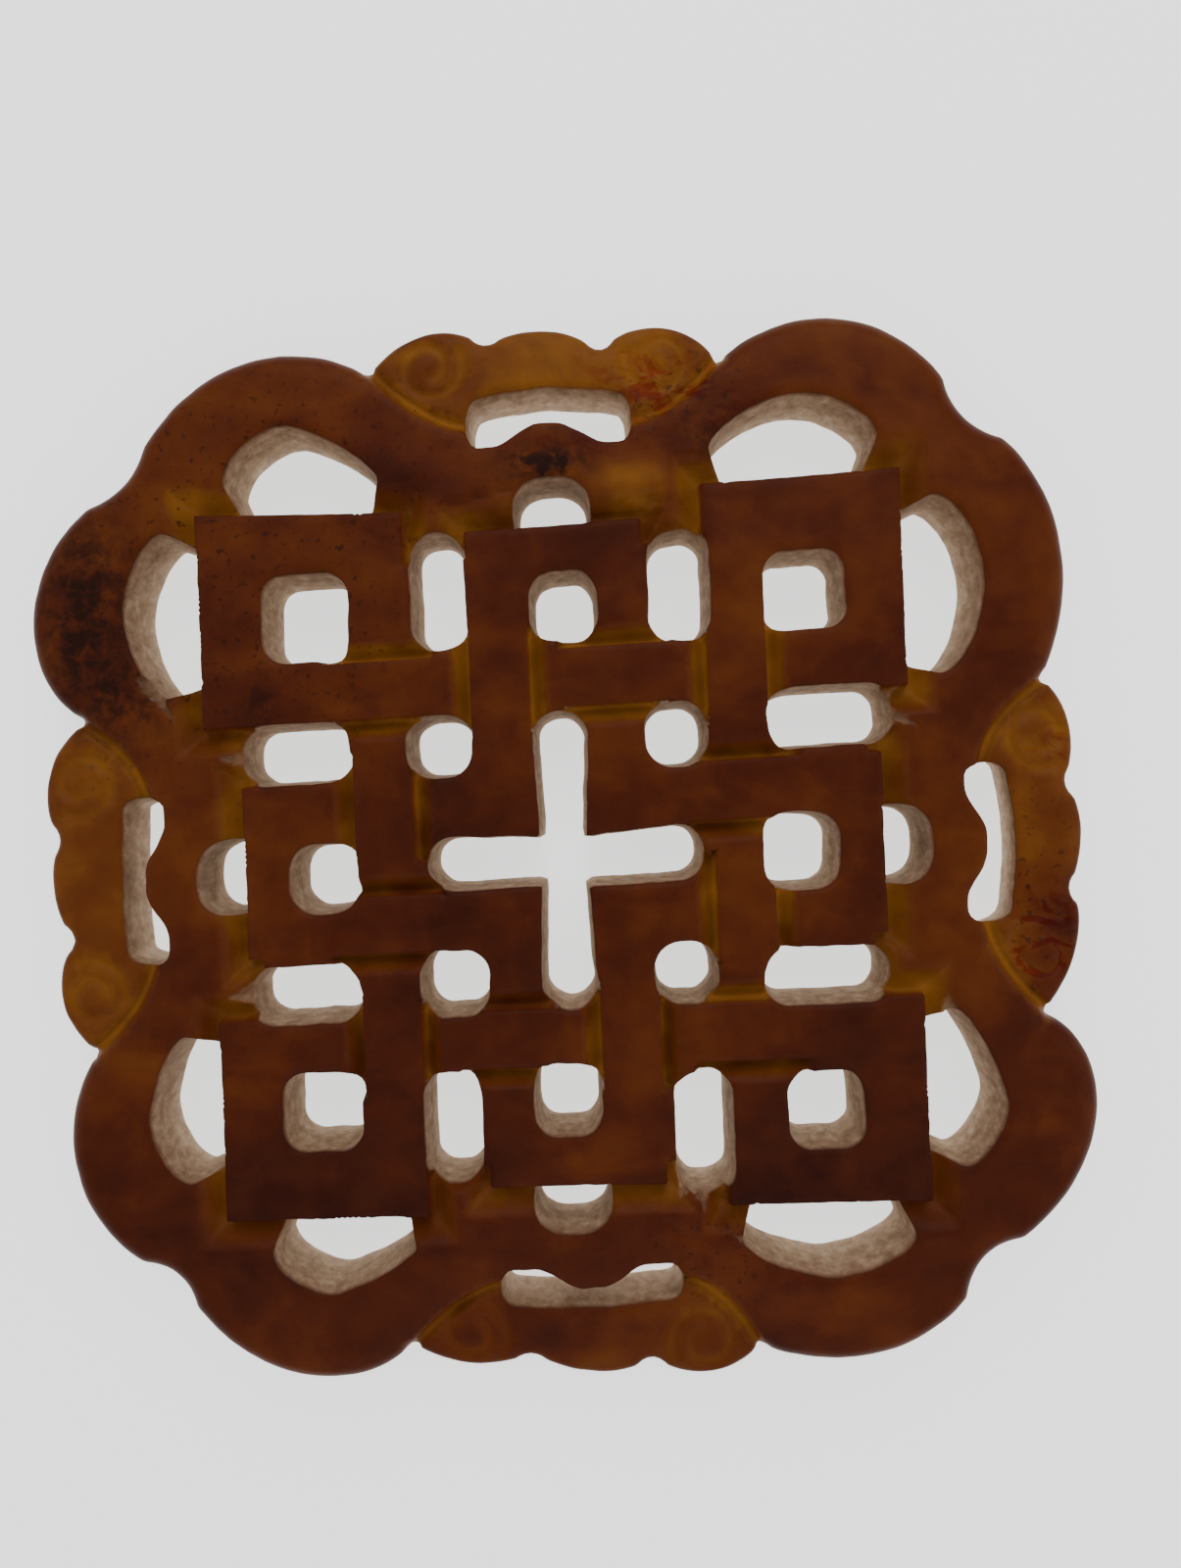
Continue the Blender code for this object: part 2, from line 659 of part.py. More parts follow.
def mitre_lines(side):
    """The creases where the frame's cut turns a corner."""
    reach = BORDER_CUT_WIDTH
    lines = []
    for sign in (-1, 1):
        loop = np.array((sign * LOOP_IN, loop_edge(side)))
        near = np.array((sign * HOLE_OUT, block_edge(side, sign)))
        lines.append((loop, loop + (sign * reach, reach)))
        lines.append((near, near + (-sign * reach, reach)))
    far = np.array((block_edge((side + 1) % 4, -1), block_edge(side, 1)))
    lines.append((far, far + reach))
    return [lean(turn_to_side(side, line)) for line in lines]


def insert_crossings(outline, lines):
    """The outline with a point wherever one of the lines crosses it, and those points."""
    marks, fuller = [], []
    for start, end in zip(outline, np.roll(outline, -1, axis=0)):
        way = end - start
        length = np.hypot(*way)
        shares = []
        for line in lines:
            run = line[1] - line[0]
            turn = way[0] * run[1] - way[1] * run[0]
            if abs(turn) < SHALLOW * length * np.hypot(*run):
                continue
            offset = line[0] - start
            share = (offset[0] * run[1] - offset[1] * run[0]) / turn
            reach = (offset[0] * way[1] - offset[1] * way[0]) / turn
            if 0 <= reach <= 1 and min(share, 1 - share) * length > NODE_GAP:
                shares.append(share)
        fuller.append(start)
        last = 0.0
        for share in sorted(shares):
            if (share - last) * length > NODE_GAP / 2:
                fuller.append(start + share * way)
                marks.append(fuller[-1])
                last = share
    return np.array(fuller), marks


def edge_pairs(outlines):
    """All outlines as one list of straight edges."""
    starts = np.vstack(outlines)
    ends = np.vstack([np.roll(outline, -1, axis=0) for outline in outlines])
    return starts, ends


def enclosed(points, starts, ends):
    """Which points lie inside the area that the edges bound, holes left out."""
    found = np.zeros(len(points), dtype=bool)
    x, y = points[:, 0], points[:, 1]
    for (x0, y0), (x1, y1) in zip(starts, ends):
        if y0 != y1:
            crosses = (y0 > y) != (y1 > y)
            found ^= crosses & (x < x0 + (y - y0) * (x1 - x0) / (y1 - y0))
    return found


def rim_distance(points, outlines):
    """Distance of each point to the nearest outline."""
    best = np.full(len(points), np.inf)
    for outline in outlines:
        best = np.minimum(best, distance_to_line(points, outline, closed=True))
    return best


def clear_runs(line, outlines):
    """The stretches of a straight line on the face that keep clear of every outline."""
    length = np.hypot(*(line[1] - line[0]))
    count = max(2, round(length / PROBE))
    points = line[0] + np.linspace(0.0, 1.0, count + 1)[:, None] * (line[1] - line[0])
    clear = enclosed(points, *edge_pairs(outlines)) & (rim_distance(points, outlines) > NODE_GAP)
    runs, first = [], None
    for index, good in enumerate(np.append(clear, False)):
        if good and first is None:
            first = index
        if not good and first is not None:
            if (index - 1 - first) * PROBE > NODE_GAP:
                runs.append((points[first], points[index - 1]))
            first = None
    return runs


def thin(candidates, spacing, kept):
    """Those candidates that keep a spacing from the kept points and from each other, in order."""
    cells = {}
    for point in kept:
        cells.setdefault((math.floor(point[0] / spacing), math.floor(point[1] / spacing)), []).append(point)
    chosen = []
    for point in candidates:
        column, row = math.floor(point[0] / spacing), math.floor(point[1] / spacing)
        near = [other for dx in (-1, 0, 1) for dy in (-1, 0, 1) for other in cells.get((column + dx, row + dy), ())]
        if all(math.dist(point, other) > spacing for other in near):
            chosen.append(point)
            cells.setdefault((column, row), []).append(point)
    return chosen


def thin_on_face(candidates, spacing, kept, outlines):
    """Candidates on the material, clear of the outlines and spaced out."""
    candidates = np.array(candidates)
    candidates = candidates[enclosed(candidates, *edge_pairs(outlines))]
    candidates = candidates[rim_distance(candidates, outlines) > spacing]
    return thin(candidates, spacing, kept)


def inset_rows(rim):
    """Rows of points that follow the rim at the steps of its rounding."""
    ahead = np.roll(rim, -1, axis=0) - np.roll(rim, 1, axis=0)
    inward = np.column_stack((ahead[:, 1], -ahead[:, 0])) / np.hypot(*ahead.T)[:, None]
    rows = []
    for share in RIM_ROWS:
        row = rim + inward * RIM_EASE * share
        rows.extend(row[distance_to_line(row, rim, closed=True) > 0.9 * RIM_EASE * share])
    return rows


def carved_rows(lines):
    """Rows of points along carved lines: their bottom and both of their banks."""
    rows = []
    for line in lines:
        line = resample(line, LINE_SPACING)
        ahead = np.gradient(line, axis=0)
        beside = np.column_stack((-ahead[:, 1], ahead[:, 0])) / np.hypot(*ahead.T)[:, None]
        for share in (0.0, -1.0, 1.0):
            rows.append(line + beside * share * LINE_HALF_WIDTH)
    return rows


def link_rows(points, links, rows, outlines):
    """Adds rows of points and joins the neighbours in each row."""
    for row in rows:
        clear = enclosed(row, *edge_pairs(outlines)) & (rim_distance(row, outlines) > POINT_GAP)
        last = None
        for point, good in zip(row, clear):
            good = good and not crowded(point, points, NODE_GAP)
            if good:
                points.append(point)
                if last is not None:
                    links.append((last, len(points) - 1))
            last = len(points) - 1 if good else None


def crowded(point, points, spacing):
    """Whether any of the points is nearer than a spacing."""
    return bool(np.any(np.hypot(*(np.array(points) - point).T) < spacing))


def loose_net():
    """An even net of points over the whole plaque."""
    reach = RIM_HALF + LOOSE_SPACING
    points = []
    for index, y in enumerate(np.arange(-reach, reach, LOOSE_SPACING * math.sqrt(3) / 2)):
        shift = LOOSE_SPACING / 2 * (index % 2)
        points.extend((x, y) for x in np.arange(-reach + shift, reach, LOOSE_SPACING))
    return points


def link_runs(points, links, marks, outlines):
    """Adds the clear runs of every cut line, tied to where that line meets an outline."""
    marks = np.array(marks)
    mark_index = {tuple(point): index for index, point in enumerate(points)}
    for line in cut_lines():
        on_line = marks[distance_to_line(marks, line) < MERGE]
        for run in clear_runs(line, outlines):
            first = len(points)
            points.extend(run)
            links.append((first, first + 1))
            for offset, end in enumerate(run):
                away = np.hypot(*(on_line - end).T) if len(on_line) else np.array((np.inf,))
                if away.min() < 4 * NODE_GAP:
                    links.append((first + offset, mark_index[tuple(on_line[away.argmin()])]))


def triangulate_face(outlines, edges, curl_lines):
    """Flat triangles of the carved face: plan points and index triples, seen from above."""
    points, links, marks = [], [], []
    for outline in outlines:
        fuller, found = insert_crossings(outline, cut_lines())
        marks.extend(found)
        first, count = len(points), len(fuller)
        points.extend(fuller)
        links.extend((first + index, first + (index + 1) % count) for index in range(count))
    link_runs(points, links, marks, outlines)
    link_rows(points, links, carved_rows(curl_lines) + carved_rows(edges), outlines)
    points.extend(thin_on_face(inset_rows(outlines[0]), POINT_GAP, points, outlines))
    points.extend(thin_on_face(loose_net(), LOOSE_SPACING / 2, points, outlines))
    flat, _, triangles, _, _, _ = delaunay_2d_cdt([Vector(point) for point in points], links, [], 0, MERGE)
    flat = np.array([tuple(point) for point in flat])
    triangles = np.array(triangles)
    return flat, triangles[enclosed(flat[triangles].mean(axis=1), *edge_pairs(outlines))]


def open_walks(bm):
    """Every open edge as the pair of points that it runs between, material on its left."""
    walks = []
    for edge in bm.edges:
        if len(edge.link_faces) == 1:
            loop = edge.link_loops[0]
            walks.append((loop.vert, loop.link_loop_next.vert))
    return walks


def outward_ways(walks):
    """The direction off the material at each point of the open edges."""
    ways = {}
    for start, end in walks:
        step = (end.co - start.co).to_2d().normalized()
        for vert in (start, end):
            ways[vert] = ways.get(vert, Vector((0.0, 0.0))) + Vector((step.y, -step.x))
    return {vert: way.normalized() for vert, way in ways.items()}


def wall_drafts(places, outlines):
    """How far the wall at each place leans into its opening by the time it reaches the back."""
    drafts = np.full(len(places), WALL_DRAFT)
    for slot, strays in zip(outlines[-len(CLOUD_STRAYS):], CLOUD_STRAYS):
        drafts[distance_to_line(places, slot, closed=True) < NODE_GAP] += strays[-1]
    return drafts


def drop_walls(bm, outlines):
    """Walls from the carved face's open edges down to the back; gives the edges of their feet."""
    walks = open_walks(bm)
    ways = outward_ways(walks)
    places = np.array([tuple(vert.co.to_2d()) for vert in ways])
    on_rim = distance_to_line(places, outlines[0], closed=True) < NODE_GAP
    waist, foot = {}, {}
    for (vert, way), outer, draft in zip(ways.items(), on_rim, wall_drafts(places, outlines)):
        at_waist = vert.co.to_2d() + way * (0.0 if outer else draft)
        at_foot = vert.co.to_2d() - way * BACK_CHAMFER if outer else at_waist
        waist[vert] = bm.verts.new((*at_waist, BACK_CHAMFER)) if outer else None
        foot[vert] = bm.verts.new((*at_foot, 0.0))
    for start, end in walks:
        if waist[start]:
            bm.faces.new((start, waist[start], waist[end], end))
            bm.faces.new((waist[start], foot[start], foot[end], waist[end]))
        else:
            bm.faces.new((start, foot[start], foot[end], end))
    return [(foot[start], foot[end]) for start, end in walks]


def close_back(bm, feet):
    """The flat back between the feet of all walls."""
    verts = list({vert: None for pair in feet for vert in pair})
    index_of = {vert: index for index, vert in enumerate(verts)}
    links = [(index_of[start], index_of[end]) for start, end in feet]
    flat, _, triangles, origins, _, _ = delaunay_2d_cdt([vert.co.to_2d() for vert in verts], links, [], 0, MERGE)
    flat = np.array([tuple(point) for point in flat])
    triangles = np.array(triangles)
    starts = np.array([tuple(start.co.to_2d()) for start, _ in feet])
    ends = np.array([tuple(end.co.to_2d()) for _, end in feet])
    for triangle in triangles[enclosed(flat[triangles].mean(axis=1), starts, ends)]:
        first, second, third = (verts[origins[index][0]] for index in triangle)
        bm.faces.new((first, third, second))


def plaque_mesh():
    """The whole plaque as one closed mesh in metres, its back on the ground."""
    rim = rim_line(FACET)
    outlines = [rim] + openings()
    edges, curl_lines = cloud_edges(), curls()
    flat, triangles = triangulate_face(outlines, edges, curl_lines)
    heights = face_height(flat, rim, edges, curl_lines)
    bm = bmesh.new()
    verts = {index: bm.verts.new((*flat[index], heights[index])) for index in np.unique(triangles)}
    for triangle in triangles:
        bm.faces.new([verts[index] for index in triangle])
    close_back(bm, drop_walls(bm, outlines))
    bmesh.ops.triangulate(bm, faces=bm.faces[:])
    centre = Vector((*(rim.min(axis=0) + rim.max(axis=0)) / 2, 0.0))
    bmesh.ops.translate(bm, verts=bm.verts, vec=-centre)
    bmesh.ops.scale(bm, verts=bm.verts, vec=(MM, MM, MM))
    mesh = bpy.data.meshes.new("jade_plaque")
    bm.to_mesh(mesh)
    bm.free()
    mesh.shade_smooth()
    mesh.set_sharp_from_angle(angle=math.radians(SHARP_ANGLE))
    return mesh


def jade_material():
    """Dark brown translucent jade with a soft polish."""
    material = bpy.data.materials.new("brown_jade")
    material.use_nodes = True
    shader = material.node_tree.nodes["Principled BSDF"]
    shader.inputs["Base Color"].default_value = (0.10, 0.035, 0.010, 1.0)
    shader.inputs["Roughness"].default_value = 0.3
    shader.inputs["Metallic"].default_value = 0.0
    return material


def main():
    """Clears the scene and makes the plaque."""
    for old in list(bpy.data.objects):
        bpy.data.objects.remove(old, do_unlink=True)
    mesh = plaque_mesh()
    mesh.materials.append(jade_material())
    plaque = bpy.data.objects.new("jade_plaque", mesh)
    bpy.context.scene.collection.objects.link(plaque)


main()
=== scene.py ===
"""The carved jade plaque, dressed for its picture: fine relief, worn edges, tool marks and jade."""

import math

import bmesh
import bpy
import numpy as np
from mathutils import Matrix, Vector, kdtree
from mathutils.geometry import delaunay_2d_cdt


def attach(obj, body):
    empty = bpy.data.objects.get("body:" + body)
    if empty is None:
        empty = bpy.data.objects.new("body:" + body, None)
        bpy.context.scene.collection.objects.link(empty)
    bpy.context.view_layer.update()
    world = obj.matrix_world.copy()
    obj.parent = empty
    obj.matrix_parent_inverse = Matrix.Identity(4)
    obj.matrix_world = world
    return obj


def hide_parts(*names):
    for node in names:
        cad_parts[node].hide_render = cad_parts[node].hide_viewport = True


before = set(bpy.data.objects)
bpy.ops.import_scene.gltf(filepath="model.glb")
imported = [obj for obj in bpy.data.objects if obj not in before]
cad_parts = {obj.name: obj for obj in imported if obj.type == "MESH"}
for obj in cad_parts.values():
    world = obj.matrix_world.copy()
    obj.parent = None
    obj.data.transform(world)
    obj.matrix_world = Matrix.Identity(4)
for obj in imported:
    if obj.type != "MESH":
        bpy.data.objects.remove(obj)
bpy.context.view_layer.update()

MM = 0.001

# Slab
THICKNESS = 5.0
RIM_EASE = 1.5
RIM_DROP = 1.3
BACK_CHAMFER = 0.5
WALL_DRAFT = 0.3

# Woven lattice, from its centre outwards
STRAP = 3.3
CROSS_GAP = 3.4
SMALL_GAP = 3.6
CORNER_GAP = 4.8
BLOCK_STRAP = 3.5
LOOP_SETBACK = 1.7
LOOP_STRAP = 2.1
SLOT_REACH = 1.3
LATTICE_DROP = 0.6
STRAP_LEAN = 0.01
STRAP_FAN = 0.0015
BLOCK_TILT = 0.065
BLOCK_TILT_MIDDLE = 13.5
BLOCK_TILT_FADE = 1.5

# Frame around the lattice
BAND = 9.65
EYE_RIM = 5.05
EYE_NEAR_INSET = 0.9
EYE_FAR_INSET = 1.6
EYE_SHOULDER = 1.9
EYE_FOOT_INSET = 0.75
EYE_FULLNESS = 1.7
MOON_WIDTH = 4.5
MOON_DEPTH = 2.85
MOON_SHOULDER = 0.9
MOON_FULLNESS = 2.4
CLOUD_RIM = 3.75
CLOUD_SLOT_LENGTH = 9.5
CLOUD_SLOT_WIDTH = 3.05
CLOUD_SLOT_END = 0.75
CLOUD_SLOT_SAG = 0.35
CLOUD_BUMP = 1.2
CLOUD_BUMP_HALF = 3.3
CLOUD_BUMP_RAMP = 2.8

# Corner radii of the openings
HOLE_CORNER = 1.3
SMALL_CORNER = 1.5
SLOT_CORNER = 1.45
CROSS_CORNER = 1.5

# Carved relief
CUT_WALL = 0.14
WEAVE_CUT = 1.1
WEAVE_CUT_WIDTH = 0.75
BORDER_CUT = 1.2
BORDER_CUT_WIDTH = 1.1
CLOUD_DROP = 0.7
CLOUD_STEP = 0.35
LINE_HALF_WIDTH = 0.35
EDGE_LINE_DEPTH = 0.55
CURL_LINE_DEPTH = 0.4
CURL_RADIUS = 2.0
CURL_RIM = 0.1
CURL_CORE = 0.7
CURL_TURNS = 1.25
CLOUD_LINE_BEND = 2.8

# Hand work: worn edges, uneven faces and rough walls
EDGE_WEAR = 0.1
EDGE_WEAR_REACH = 0.35
LIP_WEAR = 0.05
LIP_REACH = 0.11
CUT_FADE = 1.6
LINE_SPREAD = 1.5
CURL_WORN = 0.6
FACE_GRAIN = 3.0
CHIP_GRAIN = 0.35
FACE_WAVE = 0.05
RIM_WOBBLE = 0.03
RIM_SET_IN = 0.055
WOBBLE_LENGTH = 1.6
HOLE_WOBBLE = 0.06
WALL_ROUGHNESS = 0.035
BACK_EDGE = 0.2
RIM_WALL_SHARE = 0.6

# Fineness of the mesh
FACET = 0.3
ARC_STEPS = 12
DOME_STEPS = 60
SLOT_STEPS = 60
CAP_STEPS = 14
CURL_STEPS = 120
NET_SPACING = 0.34
ROW_GAP = 0.09
NET_GAP = 0.17
ROW_SPACING = 0.16
RIM_ROWS = (0.03, 0.09, 0.18, 0.3, 0.47, 0.7, 1.0, 1.4)
HOLE_ROWS = (0.06, 0.16, 0.3)
CUT_ROWS = (-0.11, 0.0, 0.14, 0.25, 0.4, 0.58)
LINE_ROWS = (-0.35, -0.2, 0.0, 0.2, 0.35)
WALL_ROWS = 8
MERGE = 0.0005

# Where the noises start
RIM_SEED = 3
FACE_SEED = 5
LIGHT_SEEDS = (11, 17, 23)
HOLE_SEED = 31
CHIP_SEED = 71
WALL_SEED = 100

# Lightness of the jade: its own and what the frame adds, and the painted glow of light through the jade
# where the clouds, the cuts and the edge leave it thinner
JADE_LIGHT = 0.18
FRAME_LIGHT = 0.07
PAINTED_CLOUD_GLOW = 0.12
PAINTED_CUT_GLOW = 0.46
PAINTED_RIM_GLOW = 0.03
BORDER_GLOW = 0.6
CURL_GLOW = 0.3
FRAME_BLEND = 0.3
RIM_GLOW_REACH = 0.8
CHIP_BARE = 0.5
CHIP_PALE = 0.55
RED_CURL_STRENGTH = 4.0

RIM = (
    ((-3.4, 28.6), 0.95, 0.52, 0.9),
    ((3.1, 28.1), 1.60, 0.50, 0.9),
    ((9.8, 27.1), 3.90, 0.50, 0.5),
    ((23.5, 23.3), 3.30, 0.46, 2.4),
    ((27.3, 8.4), 1.00, 0.45, 0.5),
    ((28.5, 2.4), 0.80, 0.44, 0.9),
    ((28.5, -3.6), 1.05, 0.40, 0.9),
    ((26.8, -10.5), 4.30, 0.43, 0.5),
    ((22.7, -24.2), 2.95, 0.46, 2.4),
    ((9.9, -28.6), 1.25, 0.48, 0.5),
    ((3.7, -29.2), 0.90, 0.45, 0.9),
    ((-3.1, -28.7), 0.85, 0.50, 0.9),
    ((-9.8, -27.8), 3.40, 0.46, 0.5),
    ((-22.8, -23.3), 3.40, 0.49, 2.0),
    ((-27.0, -10.6), 1.35, 0.50, 0.5),
    ((-28.1, -4.1), 0.75, 0.47, 0.9),
    ((-28.7, 1.6), 1.30, 0.48, 0.9),
    ((-27.0, 8.2), 3.80, 0.46, 0.5),
    ((-24.1, 21.4), 3.50, 0.53, 2.4),
    ((-10.1, 27.2), 1.40, 0.54, 0.5),
)
RIM_DRAWN_HALF = max(abs(value) for notch, _, _, _ in RIM for value in notch)

STRAYS = {
    "corner -1 1": (0.1, 0.1, -0.2, 0.6),
    "corner 1 1": (0.0, -0.1, -0.1, -0.2),
    "corner -1 -1": (0.0, -0.2, -0.3, 0.1),
    "corner 1 -1": (-0.2, -0.2, 0.3, -0.7),
    "small -1 1": (0.3, -0.1, 0.1, 0.0),
    "small 1 1": (0.2, -0.1, 0.2, -0.1),
    "small -1 -1": (0.0, 0.4, 0.3, 0.0),
    "small 1 -1": (0.2, -0.1, 0.1, -0.1),
    "loop up": (-0.2, 0.7, -0.4, 0.0),
    "loop down": (0.7, -0.1, -0.4, 0.2),
    "loop left": (-0.6, 0.1, 0.9, -0.2),
    "loop right": (0.6, -0.7, 0.8, 0.2),
    "slot up -1": (-0.3, -0.1, -0.4, 0.4),
    "slot up 1": (-0.3, 0.3, 0.0, -0.6),
    "slot down -1": (0.1, -0.3, -0.3, -0.1),
    "slot down 1": (-0.6, 0.4, 0.6, -0.5),
    "slot left -1": (-0.5, -0.1, 0.4, -0.5),
    "slot left 1": (-0.5, -0.1, 0.0, 0.0),
    "slot right -1": (0.8, -0.5, 0.4, -0.7),
    "slot right 1": (0.1, 0.2, -0.4, 0.3),
}
CROSS_ARMS = (7.9, 7.9, 8.7, 8.4)
CROSS_PINCH = ((0.25, 0.45), (0.4, 0.5), (0.3, 0.15), (0.4, -0.05))
EYE_STRAYS = (
    (-0.2, 0.1, 0.5, 1.2, 0.42, 1.35), (0.4, 0.2, 0.4, 0.5, 0.55, 1.7),
    (0.4, 0.5, -0.3, -0.2, 0.50, 1.7), (0.1, -0.4, -0.1, -0.1, 0.61, 1.35),
    (0.3, 0.5, -0.2, -0.6, 0.50, 1.7), (0.2, -0.9, 0.1, 0.0, 0.58, 1.2),
    (0.1, -0.4, -0.1, -0.5, 0.43, 1.7), (-1.0, 1.2, 0.1, -0.1, 0.55, 1.7),
)
MOON_STRAYS = ((0.0, 0.45), (0.2, -0.3), (0.4, 0.2), (-0.2, -0.25))
CLOUD_STRAYS = (
    (0.05, 0.4, 0.5, 0.1, 0.15, 0.0), (0.73, -0.2, 0.0, -0.3, 0.0, -0.8),
    (-0.5, 0.5, -0.4, 1.1, -0.1, 0.0), (-1.0, -0.5, -0.2, 0.2, -0.2, 0.0),
)

# Chips where a saw or drill ran on: tip, mouth, half width at the mouth and depth there.
CHIPS = (
    ((-19.7, 5.9), (-18.2, 5.7), 0.55, 1.3),
    ((-19.8, -7.9), (-18.2, -7.7), 0.70, 1.4),
    ((19.6, 8.5), (18.5, 7.6), 0.50, 1.2),
    ((20.0, 6.6), (18.6, 6.9), 0.55, 1.3),
    ((20.5, 6.0), (19.5, 6.5), 0.30, 0.6),
    ((5.7, -20.6), (6.1, -19.4), 0.55, 1.4),
    ((7.1, -21.2), (6.9, -19.6), 0.65, 1.5),
    ((-9.2, -21.9), (-10.7, -22.7), 0.45, 1.1),
    ((8.5, -22.4), (9.9, -23.2), 0.45, 1.0),
    ((21.5, -9.1), (21.6, -10.3), 0.50, 0.9),
    ((-21.8, 7.9), (-23.0, 9.7), 0.45, 1.0),
)

# Stray tool strokes on the frame: start, end, half width and depth.
STROKES = (
    ((-5.8, 19.8), (-2.3, 20.5), 0.16, 0.35),
    ((2.2, 18.9), (7.3, 18.9), 0.14, 0.30),
    ((3.8, 20.1), (7.6, 19.4), 0.16, 0.25),
    ((-8.6, 20.6), (-6.2, 20.9), 0.10, 0.15),
    ((3.9, -20.9), (6.8, -23.0), 0.12, 0.15),
)

# Camera: straight above, its picture turned with the plaque lying a little askew
CAMERA_PLACE = (1.6, 3.53, 71.0)
CAMERA_TURN = -2.4
LENS = 26.66
SENSOR = 36.0

# Floor, in metres: half its width, and how far it stays below the plaque
FLOOR_HALF = 0.6
FLOOR_DROP = 0.0002


def grid_lines():
    """Strap edges along one axis, counted out from the weave's centre."""
    edges = [CROSS_GAP / 2]
    for width in (STRAP, SMALL_GAP, STRAP, CORNER_GAP, BLOCK_STRAP):
        edges.append(edges[-1] + width)
    return edges


CROSS_EDGE, LOOP_IN, HOLE_OUT, BLOCK_IN, CORNER_OUT, BLOCK_EDGE = grid_lines()
LOOP_EDGE = BLOCK_EDGE - LOOP_SETBACK
CORE_EDGE = BLOCK_EDGE - SLOT_REACH - SLOT_CORNER
WEAVE_REACH = STRAP / 2 + SMALL_CORNER
RIM_HALF = BLOCK_EDGE + BAND


def side_frame(side):
    """Outward direction of a side and the direction along it, both as unit vectors."""
    outward = np.array(((0.0, 1.0), (1.0, 0.0), (0.0, -1.0), (-1.0, 0.0))[side])
    along = np.array((outward[1], -outward[0]))
    return outward, along


def lean(points):
    """Grid points put on the plaque: its level straps fan out a little to the right."""
    points = np.asarray(points, dtype=float)
    x, y = points[:, 0], points[:, 1]
    return np.column_stack((x, y + x * (STRAP_LEAN + STRAP_FAN * y) - LATTICE_DROP + block_tilt(x, y)))


def unlean(points):
    """Plaque points as the weave's own grid sees them."""
    x, y = points[:, 0], points[:, 1]
    level = (y + LATTICE_DROP - STRAP_LEAN * x) / (1 + STRAP_FAN * x)
    across = level
    for _ in range(3):
        across = level - block_tilt(x, across) / (1 + STRAP_FAN * x)
    return np.column_stack((x, across))


def block_tilt(x, y):
    """How far the outer edge of the upper left block turns up towards the plaque's corner."""
    upwards = smooth((y - CORNER_OUT) / BLOCK_STRAP)
    leftwards = smooth(1 - (HOLE_OUT + x) / BLOCK_TILT_FADE)
    return -BLOCK_TILT * (x + BLOCK_TILT_MIDDLE) * upwards * leftwards


def turn_to_side(side, points):
    """Points given as (along a side, outwards), turned to that side."""
    outward, along = side_frame(side)
    points = np.asarray(points, dtype=float)
    return points[:, :1] * along + points[:, 1:] * outward


def bulge(start, end, rise, crest, steps):
    """A round stretch of the rim between two notches, without its end point."""
    chord = end - start
    length = np.hypot(*chord)
    tangent = chord / length
    outward = np.array((-tangent[1], tangent[0]))
    radius = (length * length / 4 + rise * rise) / (2 * rise)
    share = np.linspace(0.0, 1.0, steps + 1)
    warped = share ** (math.log(0.5) / math.log(crest))
    lift = np.sqrt(radius * radius - (length * (warped - 0.5)) ** 2) - (radius - rise)
    return start + np.outer(share * length, tangent) + np.outer(lift, outward)


def cut_back(points, trim):
    """Shortens a line of points by a length at both of its ends."""
    lengths = np.hypot(*np.diff(points, axis=0).T)
    along = np.concatenate(((0.0,), np.cumsum(lengths)))
    first, last = trim[0], along[-1] - trim[1]
    kept = (along > first) & (along < last)
    ends = [np.array([np.interp(at, along, points[:, axis]) for axis in (0, 1)]) for at in (first, last)]
    return np.vstack((ends[0], points[kept], ends[1]))


def rim_line(facet):
    """The plaque's outline: bulges joined by eased notches, clockwise."""
    scale = RIM_HALF / RIM_DRAWN_HALF
    notches = [np.array(row[0]) * scale for row in RIM]
    eases = [row[3] * scale for row in RIM]
    line = []
    for index, (_, rise, crest, _) in enumerate(RIM):
        after = (index + 1) % len(RIM)
        start, end = notches[index], notches[after]
        steps = max(24, int(np.hypot(*(end - start)) / 0.2))
        arc = bulge(start, end, rise * scale, crest, steps)
        arc = cut_back(arc, (eases[index], eases[after]))
        line.append(resample(arc, facet))
    outline = []
    for index, arc in enumerate(line):
        before = line[index - 1][-1]
        outline.extend(ease_notch(before, notches[index], arc[0], max(2, int(eases[index] / facet * 2))))
        outline.extend(arc)
    return np.array(outline)


def ease_notch(start, notch, end, steps):
    """Points strictly between two ends on a curve that passes through the notch."""
    control = 2 * notch - (start + end) / 2
    share = np.linspace(0.0, 1.0, steps + 2)[1:-1, None]
    return (1 - share) ** 2 * start + 2 * share * (1 - share) * control + share ** 2 * end


def resample(points, facet):
    """The same line with evenly spaced points about one facet apart."""
    lengths = np.hypot(*np.diff(points, axis=0).T)
    along = np.concatenate(((0.0,), np.cumsum(lengths)))
    count = max(1, round(along[-1] / facet))
    marks = np.linspace(0.0, along[-1], count + 1)
    return np.column_stack([np.interp(marks, along, points[:, axis]) for axis in (0, 1)])


def closed(points):
    """A closed outline with its first point once more at the end."""
    return np.vstack((points, points[:1]))


